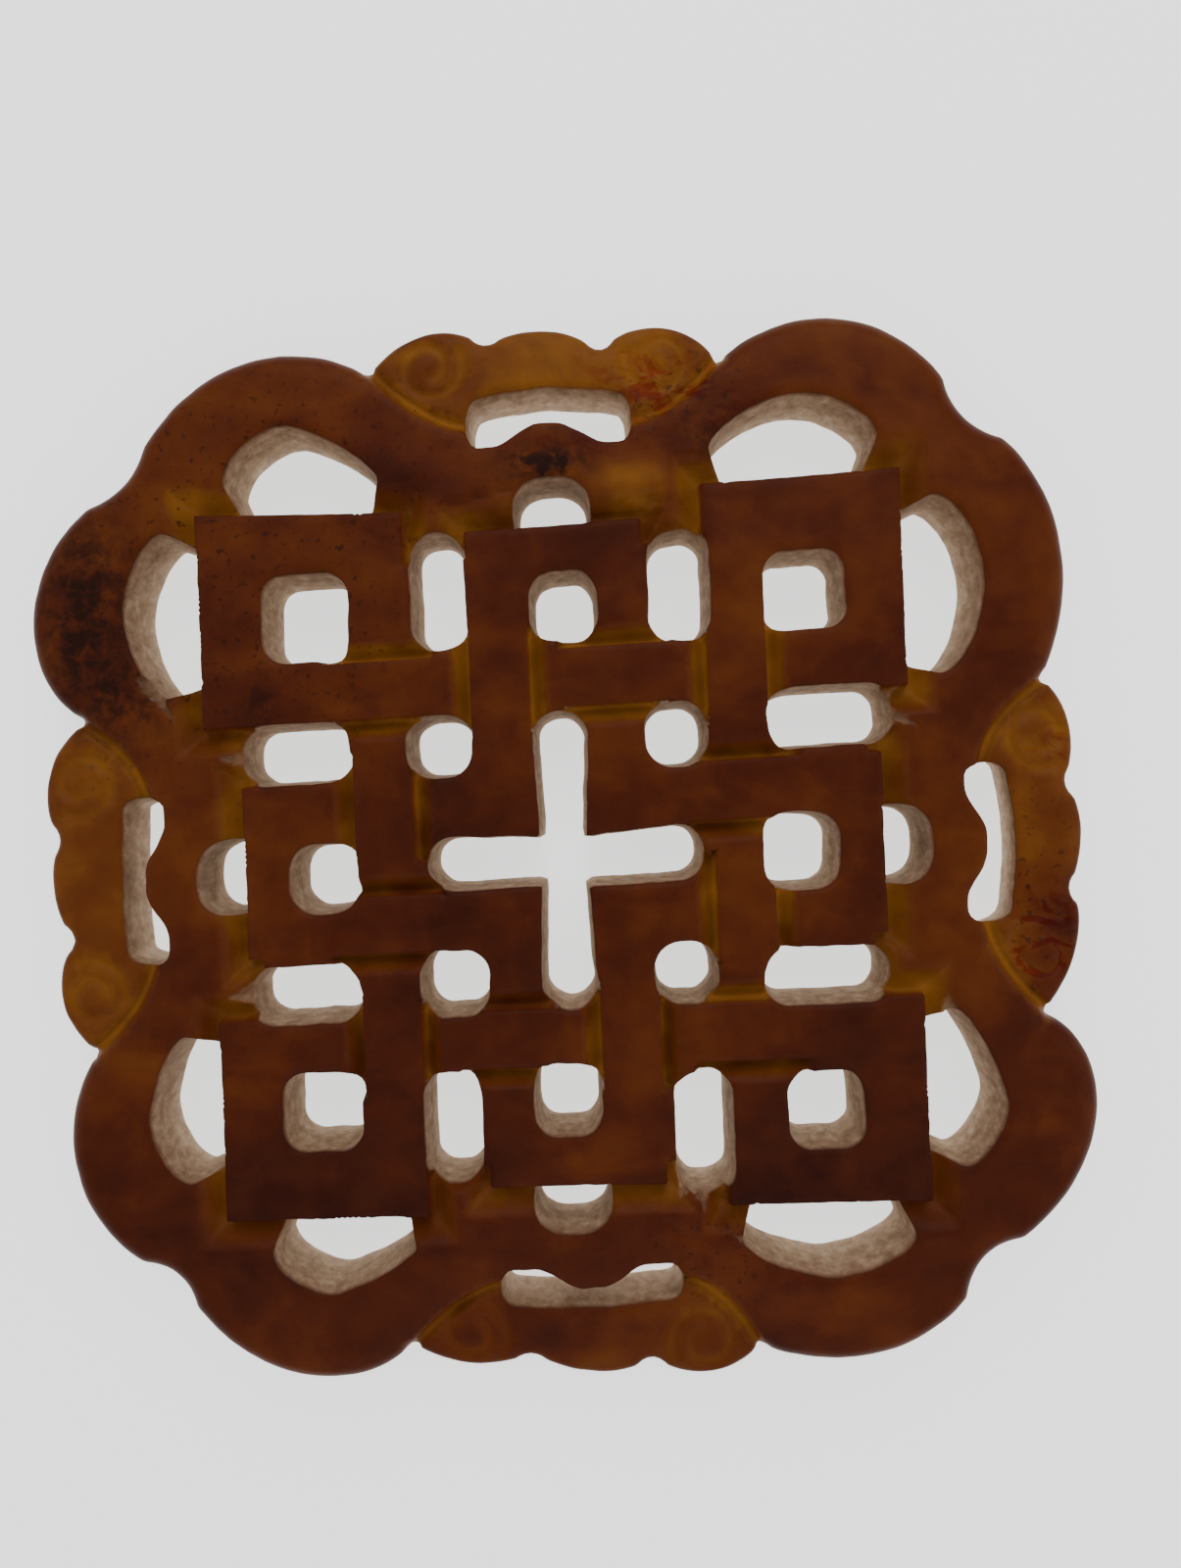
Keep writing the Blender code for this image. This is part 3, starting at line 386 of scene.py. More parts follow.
def round_corners(corners, radii):
    """A closed outline with an arc at each corner that has a radius."""
    corners = [np.asarray(corner, dtype=float) for corner in corners]
    outline = []
    for index, corner in enumerate(corners):
        radius = radii[index]
        if radius <= 0:
            outline.append(corner)
            continue
        back = corners[index - 1] - corner
        ahead = corners[(index + 1) % len(corners)] - corner
        back_length, ahead_length = np.hypot(*back), np.hypot(*ahead)
        back, ahead = back / back_length, ahead / ahead_length
        half_angle = math.acos(np.clip(np.dot(back, ahead), -1.0, 1.0)) / 2
        room = 0.49 * min(back_length, ahead_length)
        reach = min(radius / math.tan(half_angle), room)
        radius = reach * math.tan(half_angle)
        centre_way = (back + ahead) / np.hypot(*(back + ahead))
        centre = corner + centre_way * math.hypot(radius, reach)
        start, end = corner + back * reach - centre, corner + ahead * reach - centre
        turn = math.atan2(start[0] * end[1] - start[1] * end[0], np.dot(start, end))
        for step in range(ARC_STEPS + 1):
            angle = turn * step / ARC_STEPS
            spin = np.array(((math.cos(angle), -math.sin(angle)), (math.sin(angle), math.cos(angle))))
            outline.append(centre + spin @ start)
    return np.array(outline)


def span(sign, near, far):
    """The two grid edges of a gap on one side of the centre, lower value first."""
    return (near, far) if sign > 0 else (-far, -near)


def grid_box(name, across, up, radius):
    """A rounded opening between straps, with its sides moved out by its strays."""
    strays = STRAYS[name]
    left, right = across[0] - strays[0], across[1] + strays[1]
    low, high = up[0] - strays[2], up[1] + strays[3]
    return round_corners(lean([(left, low), (right, low), (right, high), (left, high)]), [radius] * 4)


def square_holes():
    """A hole in each corner block, and a small one inside it towards the cross."""
    holes = []
    for sx in (-1, 1):
        for sy in (-1, 1):
            across, up = span(sx, BLOCK_IN, CORNER_OUT), span(sy, BLOCK_IN, CORNER_OUT)
            holes.append(grid_box(f"corner {sx} {sy}", across, up, HOLE_CORNER))
            across, up = span(sx, LOOP_IN, HOLE_OUT), span(sy, LOOP_IN, HOLE_OUT)
            holes.append(grid_box(f"small {sx} {sy}", across, up, SMALL_CORNER))
    return holes


def loop_holes_and_slots():
    """The hole inside each middle loop, and the two long slots beside it."""
    found = []
    middle = (-CROSS_EDGE, CROSS_EDGE)
    ways = (("up", 1, True), ("down", -1, True), ("left", -1, False), ("right", 1, False))
    for name, sign, upright in ways:
        reach = span(sign, BLOCK_IN, LOOP_EDGE - LOOP_STRAP)
        pair = (middle, reach) if upright else (reach, middle)
        found.append(grid_box(f"loop {name}", *pair, SMALL_CORNER))
        reach = span(sign, BLOCK_IN, BLOCK_EDGE - SLOT_REACH)
        for side in (-1, 1):
            gap = span(side, LOOP_IN, HOLE_OUT)
            pair = (gap, reach) if upright else (reach, gap)
            found.append(grid_box(f"slot {name} {side}", *pair, SLOT_CORNER))
    return found


def cross():
    """The middle opening: round arm ends and sharp inner corners."""
    left, right, down, up = CROSS_ARMS
    half = CROSS_EDGE
    upper_left, upper_right, lower_left, lower_right = (half - np.array(pinch) for pinch in CROSS_PINCH)
    corners = (
        upper_right, (half, up), (-half, up),
        upper_left * (-1, 1), (-left, half), (-left, -half),
        -lower_left, (-half, -down), (half, -down),
        lower_right * (1, -1), (right, -half), (right, half),
    )
    radii = (0.0, CROSS_CORNER, CROSS_CORNER) * 4
    return round_corners(lean(corners), radii)


def dome(left, right, base, height, crest, shoulder, foot_inset, fullnesses):
    """A straight base with a round roof over it, as softened (along, outwards) points."""
    outline = [(left + foot_inset, base), (right - foot_inset, base)]
    for step in range(DOME_STEPS + 1):
        angle = math.pi * step / DOME_STEPS
        reach = right - crest if angle < math.pi / 2 else crest - left
        fullness = fullnesses[angle < math.pi / 2]
        across = math.copysign(abs(math.cos(angle)) ** (2 / fullness), math.cos(angle))
        lift = abs(math.sin(angle)) ** (2 / fullness)
        outline.append((crest + reach * across, base + shoulder + (height - shoulder) * lift))
    even = resample(closed(np.array(outline)), FACET / 2)[:-1]
    for _ in range(4):
        even = (np.roll(even, 1, axis=0) + 2 * even + np.roll(even, -1, axis=0)) / 4
    return even


def eyes():
    """Two eye-shaped openings on each side, straight along the corner blocks."""
    found = []
    for index, (near, far, base, roof, crest, near_fullness) in enumerate(EYE_STRAYS):
        side, sign = index // 2, 1 if index % 2 else -1
        inner = HOLE_OUT + EYE_NEAR_INSET - near
        outer = BLOCK_EDGE - EYE_FAR_INSET + far
        left, right = span(sign, inner, outer)
        height = BAND - EYE_RIM + roof - base
        top = left + crest * (right - left)
        fullnesses = (near_fullness, EYE_FULLNESS)[::sign]
        outline = dome(left, right, BLOCK_EDGE + base, height, top, EYE_SHOULDER, EYE_FOOT_INSET, fullnesses)
        found.append(lean(turn_to_side(side, outline)))
    return found


def moons():
    """A half-moon opening outside each middle loop, straight along the loop."""
    found = []
    for side, (shift, outwards) in enumerate(MOON_STRAYS):
        left, right = shift - MOON_WIDTH / 2, shift + MOON_WIDTH / 2
        fullnesses = (MOON_FULLNESS, MOON_FULLNESS)
        outline = dome(left, right, LOOP_EDGE + outwards, MOON_DEPTH, shift, MOON_SHOULDER, 0.0, fullnesses)
        found.append(lean(turn_to_side(side, outline)))
    return found


def slot_reach(side):
    """How far a cloud slot's walls run from its middle before its round ends begin."""
    return (CLOUD_SLOT_LENGTH + CLOUD_STRAYS[side][3]) / 2 - CLOUD_SLOT_END


def slot_walls(side, along):
    """Outer and inner wall of a cloud slot at places along it, measured from the plaque's centre."""
    _, outwards, wider, _, arched, _ = CLOUD_STRAYS[side]
    outer = RIM_HALF - CLOUD_RIM + outwards
    roof = outer - (CLOUD_SLOT_SAG + arched) * (along / slot_reach(side)) ** 2
    bump = CLOUD_BUMP * smooth((CLOUD_BUMP_HALF - np.abs(along)) / CLOUD_BUMP_RAMP)
    return roof, outer - CLOUD_SLOT_WIDTH - wider + bump


def cloud_slots():
    """A bracket-shaped slot behind each side cloud: arched outside, bumped inside."""
    found = []
    for side, (shift, *_) in enumerate(CLOUD_STRAYS):
        end = slot_reach(side)
        along = np.linspace(-end, end, SLOT_STEPS)
        roof, floor = slot_walls(side, along)
        outline = list(zip(along, roof)) + end_cap(end, roof[-1], floor[-1])
        outline += list(zip(along, floor))[::-1] + end_cap(-end, floor[0], roof[0])
        found.append(turn_to_side(side, np.array(outline) + np.array((shift, 0.0))))
    return found


def end_cap(at, start, end):
    """A round end from one height to another, without its end points."""
    middle, half = (start + end) / 2, (start - end) / 2
    cap = []
    for step in range(1, CAP_STEPS):
        angle = math.pi * step / CAP_STEPS
        reach = math.copysign(CLOUD_SLOT_END * math.sin(angle), at)
        cap.append((at + reach, middle + half * math.cos(angle)))
    return cap


def cloud_edges():
    """The carved line at each end of a cloud, from the rim's notch to the slot."""
    scale = RIM_HALF / RIM_DRAWN_HALF
    lines = []
    share = np.linspace(0.0, 1.0, 25)[:, None]
    for side, (shift, *_) in enumerate(CLOUD_STRAYS):
        outward, along = side_frame(side)
        for index, sign in ((5 * side - 1, -1), (5 * side + 2, 1)):
            notch = np.array(RIM[index][0]) * scale
            at = sign * slot_reach(side)
            roof, floor = slot_walls(side, np.array(at))
            slot_end = along * (at + shift) + outward * (0.4 * roof + 0.6 * floor)
            bend = slot_end + along * sign * CLOUD_LINE_BEND
            lines.append((1 - share) ** 2 * notch + 2 * share * (1 - share) * bend + share ** 2 * slot_end)
    return lines


def cloud_areas(edges):
    """Each cloud as a closed area: its edge lines, the middle of its slot and the open outside."""
    areas = []
    for side, (shift, *_) in enumerate(CLOUD_STRAYS):
        along = np.linspace(-slot_reach(side), slot_reach(side), SLOT_STEPS)
        outside = side_frame(side)[0] * 2 * CLOUD_RIM
        middle = np.column_stack((along + shift, np.mean(slot_walls(side, along), axis=0)))
        middle = turn_to_side(side, middle)
        first, last = edges[2 * side], edges[2 * side + 1]
        areas.append(np.vstack((first[:1] + outside, first, middle, last[::-1], last[:1] + outside)))
    return areas


def curls():
    """The spiral line in the round ends of each cloud, starting from the notch beside its middle."""
    scale = RIM_HALF / RIM_DRAWN_HALF
    share = np.linspace(0.0, 1.0, CURL_STEPS)
    lines = []
    for side in range(4):
        for index, spin in ((5 * side - 1, -1), (5 * side + 1, 1)):
            start, end = (np.array(RIM[i % len(RIM)][0]) * scale for i in (index, index + 1))
            tangent = (end - start) / np.hypot(*(end - start))
            outward = np.array((-tangent[1], tangent[0]))
            crown = (start + end) / 2 + outward * RIM[index][1] * scale
            centre = crown - outward * (CURL_RADIUS + CURL_RIM)
            away = (end if spin < 0 else start) - centre
            radius = CURL_RADIUS + (CURL_CORE - CURL_RADIUS) * share
            angle = math.atan2(away[1], away[0]) + spin * 2 * math.pi * CURL_TURNS * share
            lines.append(centre + np.column_stack((radius * np.cos(angle), radius * np.sin(angle))))
    return lines


def openings():
    """Every opening that is cut through the plaque."""
    return square_holes() + loop_holes_and_slots() + [cross()] + eyes() + moons() + cloud_slots()


def smooth(share):
    """An eased step from 0 to 1."""
    share = np.clip(share, 0.0, 1.0)
    return share * share * (3 - 2 * share)


def soft_noise(places, size, seed):
    """Smooth noise from -1 to 1 at places in two or three dimensions, with grains of a given size."""
    places = np.asarray(places, dtype=float) / size
    cell = np.floor(places).astype(int)
    share = smooth(places - cell)
    total = np.zeros(len(places))
    for corner in np.ndindex(*(2,) * places.shape[1]):
        spot = cell + np.array(corner)
        mixed = spot @ np.array((73856093, 19349663, 83492791))[:places.shape[1]] + seed * 2654435761
        mixed = (mixed ^ (mixed >> 13)) * 1274126177 & 0xFFFFFFFF
        value = ((mixed ^ (mixed >> 16)) & 0xFFFF) / 32767.5 - 1.0
        weight = np.prod(np.where(np.array(corner), share, 1 - share), axis=1)
        total += weight * value
    return total


def layered_noise(places, size, seed, layers=3):
    """Smooth noise in layers, each half the size and strength of the one before."""
    total = np.zeros(len(places))
    for layer in range(layers):
        total += soft_noise(places, size / 2 ** layer, seed + layer) / 2 ** layer
    return total


def distance_to_line(points, line):
    """Distance of each point to a line of points."""
    start, step = line[:-1], np.diff(line, axis=0)
    best = np.full(len(points), np.inf)
    for corner, way in zip(start, step):
        offset = points - corner
        share = np.clip(offset @ way / max(np.dot(way, way), 1e-12), 0.0, 1.0)
        best = np.minimum(best, np.hypot(*(offset - share[:, None] * way).T))
    return best


class NearOutlines:
    """Distance from the plan's points to a set of closed outlines."""

    def __init__(self, outlines):
        self.starts = np.vstack(outlines)
        self.after = np.vstack([np.roll(outline, -1, axis=0) for outline in outlines])
        self.before = np.vstack([np.roll(outline, 1, axis=0) for outline in outlines])
        self.tree = kdtree.KDTree(len(self.starts))
        for index, (x, y) in enumerate(self.starts):
            self.tree.insert((x, y, 0.0), index)
        self.tree.balance()

    def distance(self, points):
        """Distance of each point to the nearest outline."""
        nearest = np.array([self.tree.find((x, y, 0.0))[1] for x, y in points])
        start = self.starts[nearest]
        best = np.full(len(points), np.inf)
        for end in (self.after[nearest], self.before[nearest]):
            way = end - start
            offset = points - start
            share = np.clip((offset * way).sum(axis=1) / (way * way).sum(axis=1), 0.0, 1.0)
            best = np.minimum(best, np.hypot(*(offset - share[:, None] * way).T))
        return best


def enclosed(points, outlines):
    """Which points lie inside the area that the outlines bound, holes left out."""
    found = np.zeros(len(points), dtype=bool)
    x, y = points[:, 0], points[:, 1]
    for outline in outlines:
        low, high = outline.min(axis=0), outline.max(axis=0)
        near = np.flatnonzero((x >= low[0]) & (x <= high[0]) & (y >= low[1]) & (y <= high[1]))
        px, py = x[near], y[near]
        inner = np.zeros(len(near), dtype=bool)
        for (x0, y0), (x1, y1) in zip(outline, np.roll(outline, -1, axis=0)):
            if y0 != y1:
                crosses = (y0 > py) != (y1 > py)
                inner ^= crosses & (px < x0 + (py - y0) * (x1 - x0) / (y1 - y0))
        found[near] ^= inner
    return found


def stop_cut(distance, depth, width):
    """A cut that drops at a worn edge and fades back gently, a little beyond its width."""
    worn = LIP_WEAR * np.clip(1 + distance / LIP_REACH, 0.0, 1.0) ** 2
    fall = np.clip(distance / CUT_WALL, 0.0, 1.0)
    away = np.clip((distance - CUT_WALL) / (CUT_FADE * width - CUT_WALL), 0.0, 1.0)
    climb = (1 - away ** 2) ** 2
    return np.where(distance <= 0, worn, np.maximum(depth * fall, LIP_WEAR) * climb)


def crossings():
    """Every crossing: its two strap centres and whether the upright strap lies on top."""
    centres = (-(HOLE_OUT + BLOCK_IN) / 2, -(CROSS_EDGE + LOOP_IN) / 2,
               (CROSS_EDGE + LOOP_IN) / 2, (HOLE_OUT + BLOCK_IN) / 2)
    found = []
    for column in range(4):
        for row in range(4):
            if column in (1, 2) and row in (1, 2):
                continue
            found.append((centres[column], -centres[row], (column + row) % 2 == 1))
    return found


def weave_cut(points):
    """Depth of the cuts where a strap dips beside the one that crosses over it."""
    x, y = unlean(points).T
    depth = np.zeros(len(points))
    for centre_x, centre_y, upright_on_top in crossings():
        across, along = (x - centre_x, y - centre_y) if upright_on_top else (y - centre_y, x - centre_x)
        cut = stop_cut(np.abs(across) - STRAP / 2, WEAVE_CUT, WEAVE_CUT_WIDTH)
        depth = np.maximum(depth, np.where(np.abs(along) < WEAVE_REACH, cut, 0.0))
    return depth


def block_edge(side, sign):
    """Where a corner block ends towards the frame: the straight side of the eye beside it."""
    return BLOCK_EDGE + EYE_STRAYS[2 * side + (sign > 0)][2]


def loop_edge(side):
    """Where a middle loop ends towards the frame: the straight side of its half-moon."""
    return LOOP_EDGE + MOON_STRAYS[side][1]


def lattice_boxes():
    """The weave's core, and the blocks and loops that stand against the frame: corners on the grid."""
    boxes = [np.array(((-CORE_EDGE, -CORE_EDGE), (CORE_EDGE, CORE_EDGE)))]
    for side in range(4):
        block = ((HOLE_OUT, HOLE_OUT), (block_edge((side + 1) % 4, -1), block_edge(side, 1)))
        loop = ((-LOOP_IN, 0.0), (LOOP_IN, loop_edge(side)))
        for box in (block, loop):
            turned = turn_to_side(side, box)
            boxes.append(np.array((turned.min(axis=0), turned.max(axis=0))))
    return boxes


def beyond_lattice(points):
    """How far each point lies outside the lattice, negative on it."""
    placed = unlean(points)
    nearest = np.full(len(points), np.inf)
    for low, high in lattice_boxes():
        nearest = np.minimum(nearest, np.maximum(low - placed, placed - high).max(axis=1))
    return nearest


def line_cut(points, lines, depth):
    """Depth of round-bottomed carved lines with soft shoulders."""
    nearest = np.full(len(points), np.inf)
    for line in lines:
        nearest = np.minimum(nearest, distance_to_line(points, line))
    share = np.clip(1 - (nearest / (LINE_SPREAD * LINE_HALF_WIDTH)) ** 2, 0.0, 1.0)
    return depth * share ** 2


def cloud_share(points, edges):
    """How far each point belongs to a cloud: 0 on the lobes, 1 on a cloud."""
    fall = np.zeros(len(points))
    for area in cloud_areas(edges):
        low, high = area.min(axis=0) - 1, area.max(axis=0) + 1
        near = np.flatnonzero(np.all((points > low) & (points < high), axis=1))
        if len(near):
            reach = distance_to_line(points[near], closed(area))
            signed = np.where(enclosed(points[near], [area]), reach, -reach)
            fall[near] = np.maximum(fall[near], smooth(0.5 + signed / (2 * CLOUD_STEP)))
    return fall


def chip_cut(points):
    """Depth of the chips at the ends of saw cuts."""
    depth = np.zeros(len(points))
    grain = 0.25 * layered_noise(points, CHIP_GRAIN, CHIP_SEED)
    for tip, mouth, half_width, deepest in CHIPS:
        tip, mouth = np.array(tip), np.array(mouth)
        way = mouth - tip
        length = np.hypot(*way)
        along = (points - tip) @ way / length
        across = np.abs((points - tip) @ np.array((-way[1], way[0]))) / length
        width = half_width * np.clip(along / length, 0.0, 1.3)
        share = np.clip((1 + grain) - across / np.maximum(width, 1e-6), 0.0, 1.0)
        share = np.where((along > 0) & (along < 1.5 * length), share, 0.0)
        depth = np.maximum(depth, deepest * smooth(1.6 * share) * np.clip(along / length, 0.0, 1.0))
    return depth


def stroke_cut(points):
    """Depth of stray tool strokes."""
    depth = np.zeros(len(points))
    for start, end, half_width, deepest in STROKES:
        line = np.array((start, end))
        away = distance_to_line(points, line)
        depth = np.maximum(depth, deepest * np.clip(1 - (away / half_width) ** 2, 0.0, 1.0))
    return depth


def carve(points, rim, holes, edges, curl_lines):
    """Height of the carved face, and what the jade's colour needs to know at each point."""
    to_rim = NearOutlines([rim]).distance(points)
    to_hole = NearOutlines(holes).distance(points)
    cloud = cloud_share(points, edges)
    outside = beyond_lattice(points)
    weave = weave_cut(points)
    border = stop_cut(outside, BORDER_CUT, BORDER_CUT_WIDTH)
    lines = line_cut(points, edges, EDGE_LINE_DEPTH)
    spirals = line_cut(points, curl_lines, CURL_LINE_DEPTH * CURL_WORN)
    chips = chip_cut(points)
    strokes = stroke_cut(points)
    # The cuts' depth, weighted for the painted glow of light through the jade they leave thin; the border
    # and curl cuts glow less.
    cuts = np.maximum(np.maximum(weave, BORDER_GLOW * border), lines + CURL_GLOW * spirals)
    carved = CLOUD_DROP * cloud + lines + spirals
    carved = np.maximum(carved, np.maximum(weave, border)) + strokes
    carved = carved + FACE_WAVE * (0.5 + 0.5 * layered_noise(points, FACE_GRAIN, FACE_SEED))
    carved = carved + EDGE_WEAR * (1 - smooth(to_hole / EDGE_WEAR_REACH)) ** 2
    carved = np.maximum(carved, chips)
    near = np.clip(1 - to_rim / RIM_EASE, 0.0, 1.0)
    eased = RIM_DROP * (1 - np.sqrt(1 - near * near))
    height = THICKNESS - np.hypot(carved, eased)
    marks = {
        # thin: where the cuts leave the jade thin, for the painted glow of light through it.
        "thin": np.clip(cuts / BORDER_CUT, 0.0, 1.0),
        "cloud": cloud,
        "frame": smooth(outside / FRAME_BLEND),
        # edge: nearness to the rim, where the eased jade is thin, for the painted glow of light through it.
        "edge": np.exp(-to_rim / RIM_GLOW_REACH),
        "spiral": spirals / (CURL_LINE_DEPTH * CURL_WORN),
        "raw": smooth(chips / CHIP_BARE),
        "wall": np.zeros(len(points)),
        "depth": np.zeros(len(points)),
    }
    return height, marks


def wobble(outline, amount, seed, set_in=0.0):
    """An outline that wanders a little, as a hand-held saw leaves it; a clockwise one can be set in."""
    ahead = np.roll(outline, -1, axis=0) - np.roll(outline, 1, axis=0)
    way = np.column_stack((ahead[:, 1], -ahead[:, 0])) / np.hypot(*ahead.T)[:, None]
    return outline + way * (set_in + amount * layered_noise(outline, WOBBLE_LENGTH, seed))[:, None]


def thin(candidates, spacing, kept):
    """Those candidates that keep a spacing from the kept points and from each other, in order."""
    cells = {}
    for x, y in kept:
        cells.setdefault((math.floor(x / spacing), math.floor(y / spacing)), []).append((x, y))
    chosen = []
    limit = spacing * spacing
    for x, y in candidates:
        column, row = math.floor(x / spacing), math.floor(y / spacing)
        clear = True
        for dx in (-1, 0, 1):
            for dy in (-1, 0, 1):
                for other_x, other_y in cells.get((column + dx, row + dy), ()):
                    if (x - other_x) ** 2 + (y - other_y) ** 2 < limit:
                        clear = False
        if clear:
            chosen.append((x, y))
            cells.setdefault((column, row), []).append((x, y))
    return chosen


def rows_beside(outline, offsets, sign):
    """Rows of points that follow an outline at some offsets into the material."""
    ahead = np.roll(outline, -1, axis=0) - np.roll(outline, 1, axis=0)
    way = np.column_stack((ahead[:, 1], -ahead[:, 0])) / np.hypot(*ahead.T)[:, None]
    rows = []
    for offset in offsets:
        row = outline + sign * way * offset
        away = NearOutlines([outline]).distance(row)
        rows.append(row[away > 0.9 * offset])
    return rows


def turning(outline):
    """+1 for an outline that runs clockwise, -1 for the other way."""
    x, y = outline.T
    return -math.copysign(1.0, float(np.sum(x * np.roll(y, -1) - y * np.roll(x, -1))))


def cut_rows():
    """Rows of points along every stop cut of the weave and the frame."""
    rows = []
    for centre_x, centre_y, upright_on_top in crossings():
        for sign in (-1, 1):
            edge = sign * STRAP / 2
            for offset in CUT_ROWS + (WEAVE_CUT_WIDTH,):
                across = edge + sign * offset
                ends = [(across, -WEAVE_REACH), (across, WEAVE_REACH)]
                if not upright_on_top:
                    ends = [(y, x) for x, y in ends]
                placed = lean([(centre_x + a, centre_y + b) for a, b in ends])
                rows.append(resample(placed, ROW_SPACING))
    for side in range(4):
        for offset in CUT_ROWS + (0.8, BORDER_CUT_WIDTH):
            for run in border_runs(side, offset):
                rows.append(resample(lean(turn_to_side(side, run)), ROW_SPACING))
    return rows


def border_runs(side, beside):
    """The frame's cut along one side: round the middle loop's end and the corner blocks."""
    wide, high = LOOP_IN + beside, loop_edge(side) + beside
    runs = [[(-wide, CORE_EDGE), (-wide, high), (wide, high), (wide, CORE_EDGE)]]
    for sign in (-1, 1):
        near, high = sign * (HOLE_OUT - beside), block_edge(side, sign) + beside
        far = sign * (block_edge((side + sign) % 4, -sign) + beside)
        runs.append([(near, CORE_EDGE), (near, high), (far, high)])
    return runs


def line_rows(lines):
    """Rows of points along curved carved lines."""
    rows = []
    for line in lines:
        line = resample(line, ROW_SPACING)
        ahead = np.gradient(line, axis=0)
        beside = np.column_stack((-ahead[:, 1], ahead[:, 0])) / np.hypot(*ahead.T)[:, None]
        for offset in LINE_ROWS:
            rows.append(line + beside * offset)
    return rows


def chip_points():
    """A fine net of points over each chip."""
    points = []
    for tip, mouth, half_width, _ in CHIPS:
        middle = (np.array(tip) + np.array(mouth)) / 2
        reach = math.dist(tip, mouth) / 2 + half_width
        steps = np.arange(-reach, reach, 0.13)
        points.extend((middle[0] + dx, middle[1] + dy) for dx in steps for dy in steps)
    return np.array(points)


def even_net():
    """An even net of points over the whole plaque."""
    reach = RIM_HALF + NET_SPACING
    points = []
    for index, y in enumerate(np.arange(-reach, reach, NET_SPACING * math.sqrt(3) / 2)):
        shift = NET_SPACING / 2 * (index % 2)
        points.extend((x, y) for x in np.arange(-reach + shift, reach, NET_SPACING))
    return np.array(points)


def face_points(rim, holes, edges, curl_lines):
    """Points of the carved face: outlines first, then rows that follow what is carved, then a net."""
    outlines = [rim] + holes
    near = NearOutlines(outlines)
    points = [tuple(point) for outline in outlines for point in outline]
    rows = rows_beside(rim, RIM_ROWS, turning(rim))
    for hole in holes:
        rows.extend(rows_beside(hole, HOLE_ROWS, -turning(hole)))
    rows = np.vstack(rows)
    rows = rows[enclosed(rows, outlines)]
    rows = rows[near.distance(rows) > 0.02]
    points += thin(rows, 0.05, points)
    carved = np.vstack(cut_rows() + line_rows(edges) + line_rows(curl_lines))
    for candidates, gap in ((carved, ROW_GAP), (chip_points(), ROW_GAP), (even_net(), NET_GAP)):
        candidates = candidates[enclosed(candidates, outlines)]
        candidates = candidates[near.distance(candidates) > gap]
        points += thin(candidates, gap, points)
    return np.array(points)


def triangulate(points, outlines):
    """Triangles between the points inside the outlines, with the outlines kept as edges."""
    links, first = [], 0
    for outline in outlines:
        count = len(outline)
        links.extend((first + index, first + (index + 1) % count) for index in range(count))
        first += count
    corners = [Vector(point) for point in points]
    flat, _, triangles, origins, _, _ = delaunay_2d_cdt(corners, links, [], 0, MERGE)
    flat = np.array([tuple(point) for point in flat])
    triangles = np.array(triangles)
    keep = enclosed(flat[triangles].mean(axis=1), outlines)
    return flat, triangles[keep], origins


def wall_rows(outline, top, lean_in, seed):
    """Rings of points down a wall to the back: rough and leaning in an opening, eased on the rim."""
    ahead = np.roll(outline, -1, axis=0) - np.roll(outline, 1, axis=0)
    off = np.column_stack((-ahead[:, 1], ahead[:, 0])) / np.hypot(*ahead.T)[:, None] * turning(outline)
    lengths = np.hypot(*np.diff(closed(outline), axis=0).T)
    along = np.concatenate(((0.0,), np.cumsum(lengths)))[:-1]
    rings = []
    for level in range(1, WALL_ROWS + 1):
        share = level / WALL_ROWS
        if lean_in is None:
            angle = math.pi / 2 * max(0.0, (share - RIM_WALL_SHARE) / (1 - RIM_WALL_SHARE))
            straight = top + (BACK_CHAMFER - top) * min(1.0, share / RIM_WALL_SHARE)
            height = straight if angle == 0 else np.full(len(outline), BACK_CHAMFER * (1 - math.sin(angle)))
            place = outline - off * BACK_CHAMFER * (1 - math.cos(angle))
        else:
            height = top * (1 - share)
            spots = np.column_stack((along, 0.8 * height + 0.25 * along))
            fading = math.sin(math.pi * min(share + 0.15, 1.0))
            rough = WALL_ROUGHNESS * fading * layered_noise(spots, 1.5, seed, 2)
            foot = BACK_EDGE * max(0.0, (share - 0.9) / 0.1) ** 2
            place = outline - off * (lean_in * share + rough - foot)[:, None]
        rings.append(np.column_stack((place, height)))
    return rings


def soft_patch(centre, reach, points):
    """A soft oval patch about a place on the face."""
    away = points - np.array(centre)
    return np.exp(-(away[:, 0] / reach[0]) ** 2 - (away[:, 1] / reach[1]) ** 2)


# Broad areas of the jade: centre, reach and how much lighter (or darker) they are.
AREAS = (
    ((0.0, 27.9), (6.0, 2.4), 0.09),
    ((5.6, 27.4), (3.2, 2.2), 0.06),
    ((-6.0, 27.2), (3.5, 2.6), -0.05),
    ((-1.0, -28.0), (12.0, 2.4), -0.21),
    ((2.0, -22.5), (13.0, 3.0), -0.11),
    ((-19.0, -21.0), (8.0, 6.0), -0.13),
    ((19.0, -20.0), (8.0, 6.0), -0.12),
    ((27.0, -16.0), (4.0, 6.0), -0.07),
    ((25.0, 14.0), (4.0, 9.0), -0.05),
    ((0.2, 23.2), (2.6, 1.4), -0.08),
    ((28.0, 1.0), (2.5, 5.0), -0.05),
    ((-10.0, 21.6), (5.0, 1.6), -0.11),
    ((-7.0, 20.8), (3.0, 1.5), -0.08),
    ((4.6, 20.9), (2.4, 1.3), 0.24),
    ((9.0, 24.0), (2.0, 2.6), -0.06),
    ((13.0, 15.0), (6.0, 6.0), 0.07),
    ((-13.0, 13.0), (7.0, 7.0), 0.06),
    ((-21.0, 20.5), (3.0, 3.0), 0.05),
    ((1.0, -15.0), (9.0, 5.0), -0.05),
    ((14.0, -14.0), (5.0, 5.0), -0.05),
    ((-26.5, 13.5), (3.0, 5.5), -0.05),
    ((28.3, -5.7), (1.8, 3.0), -0.22),
)

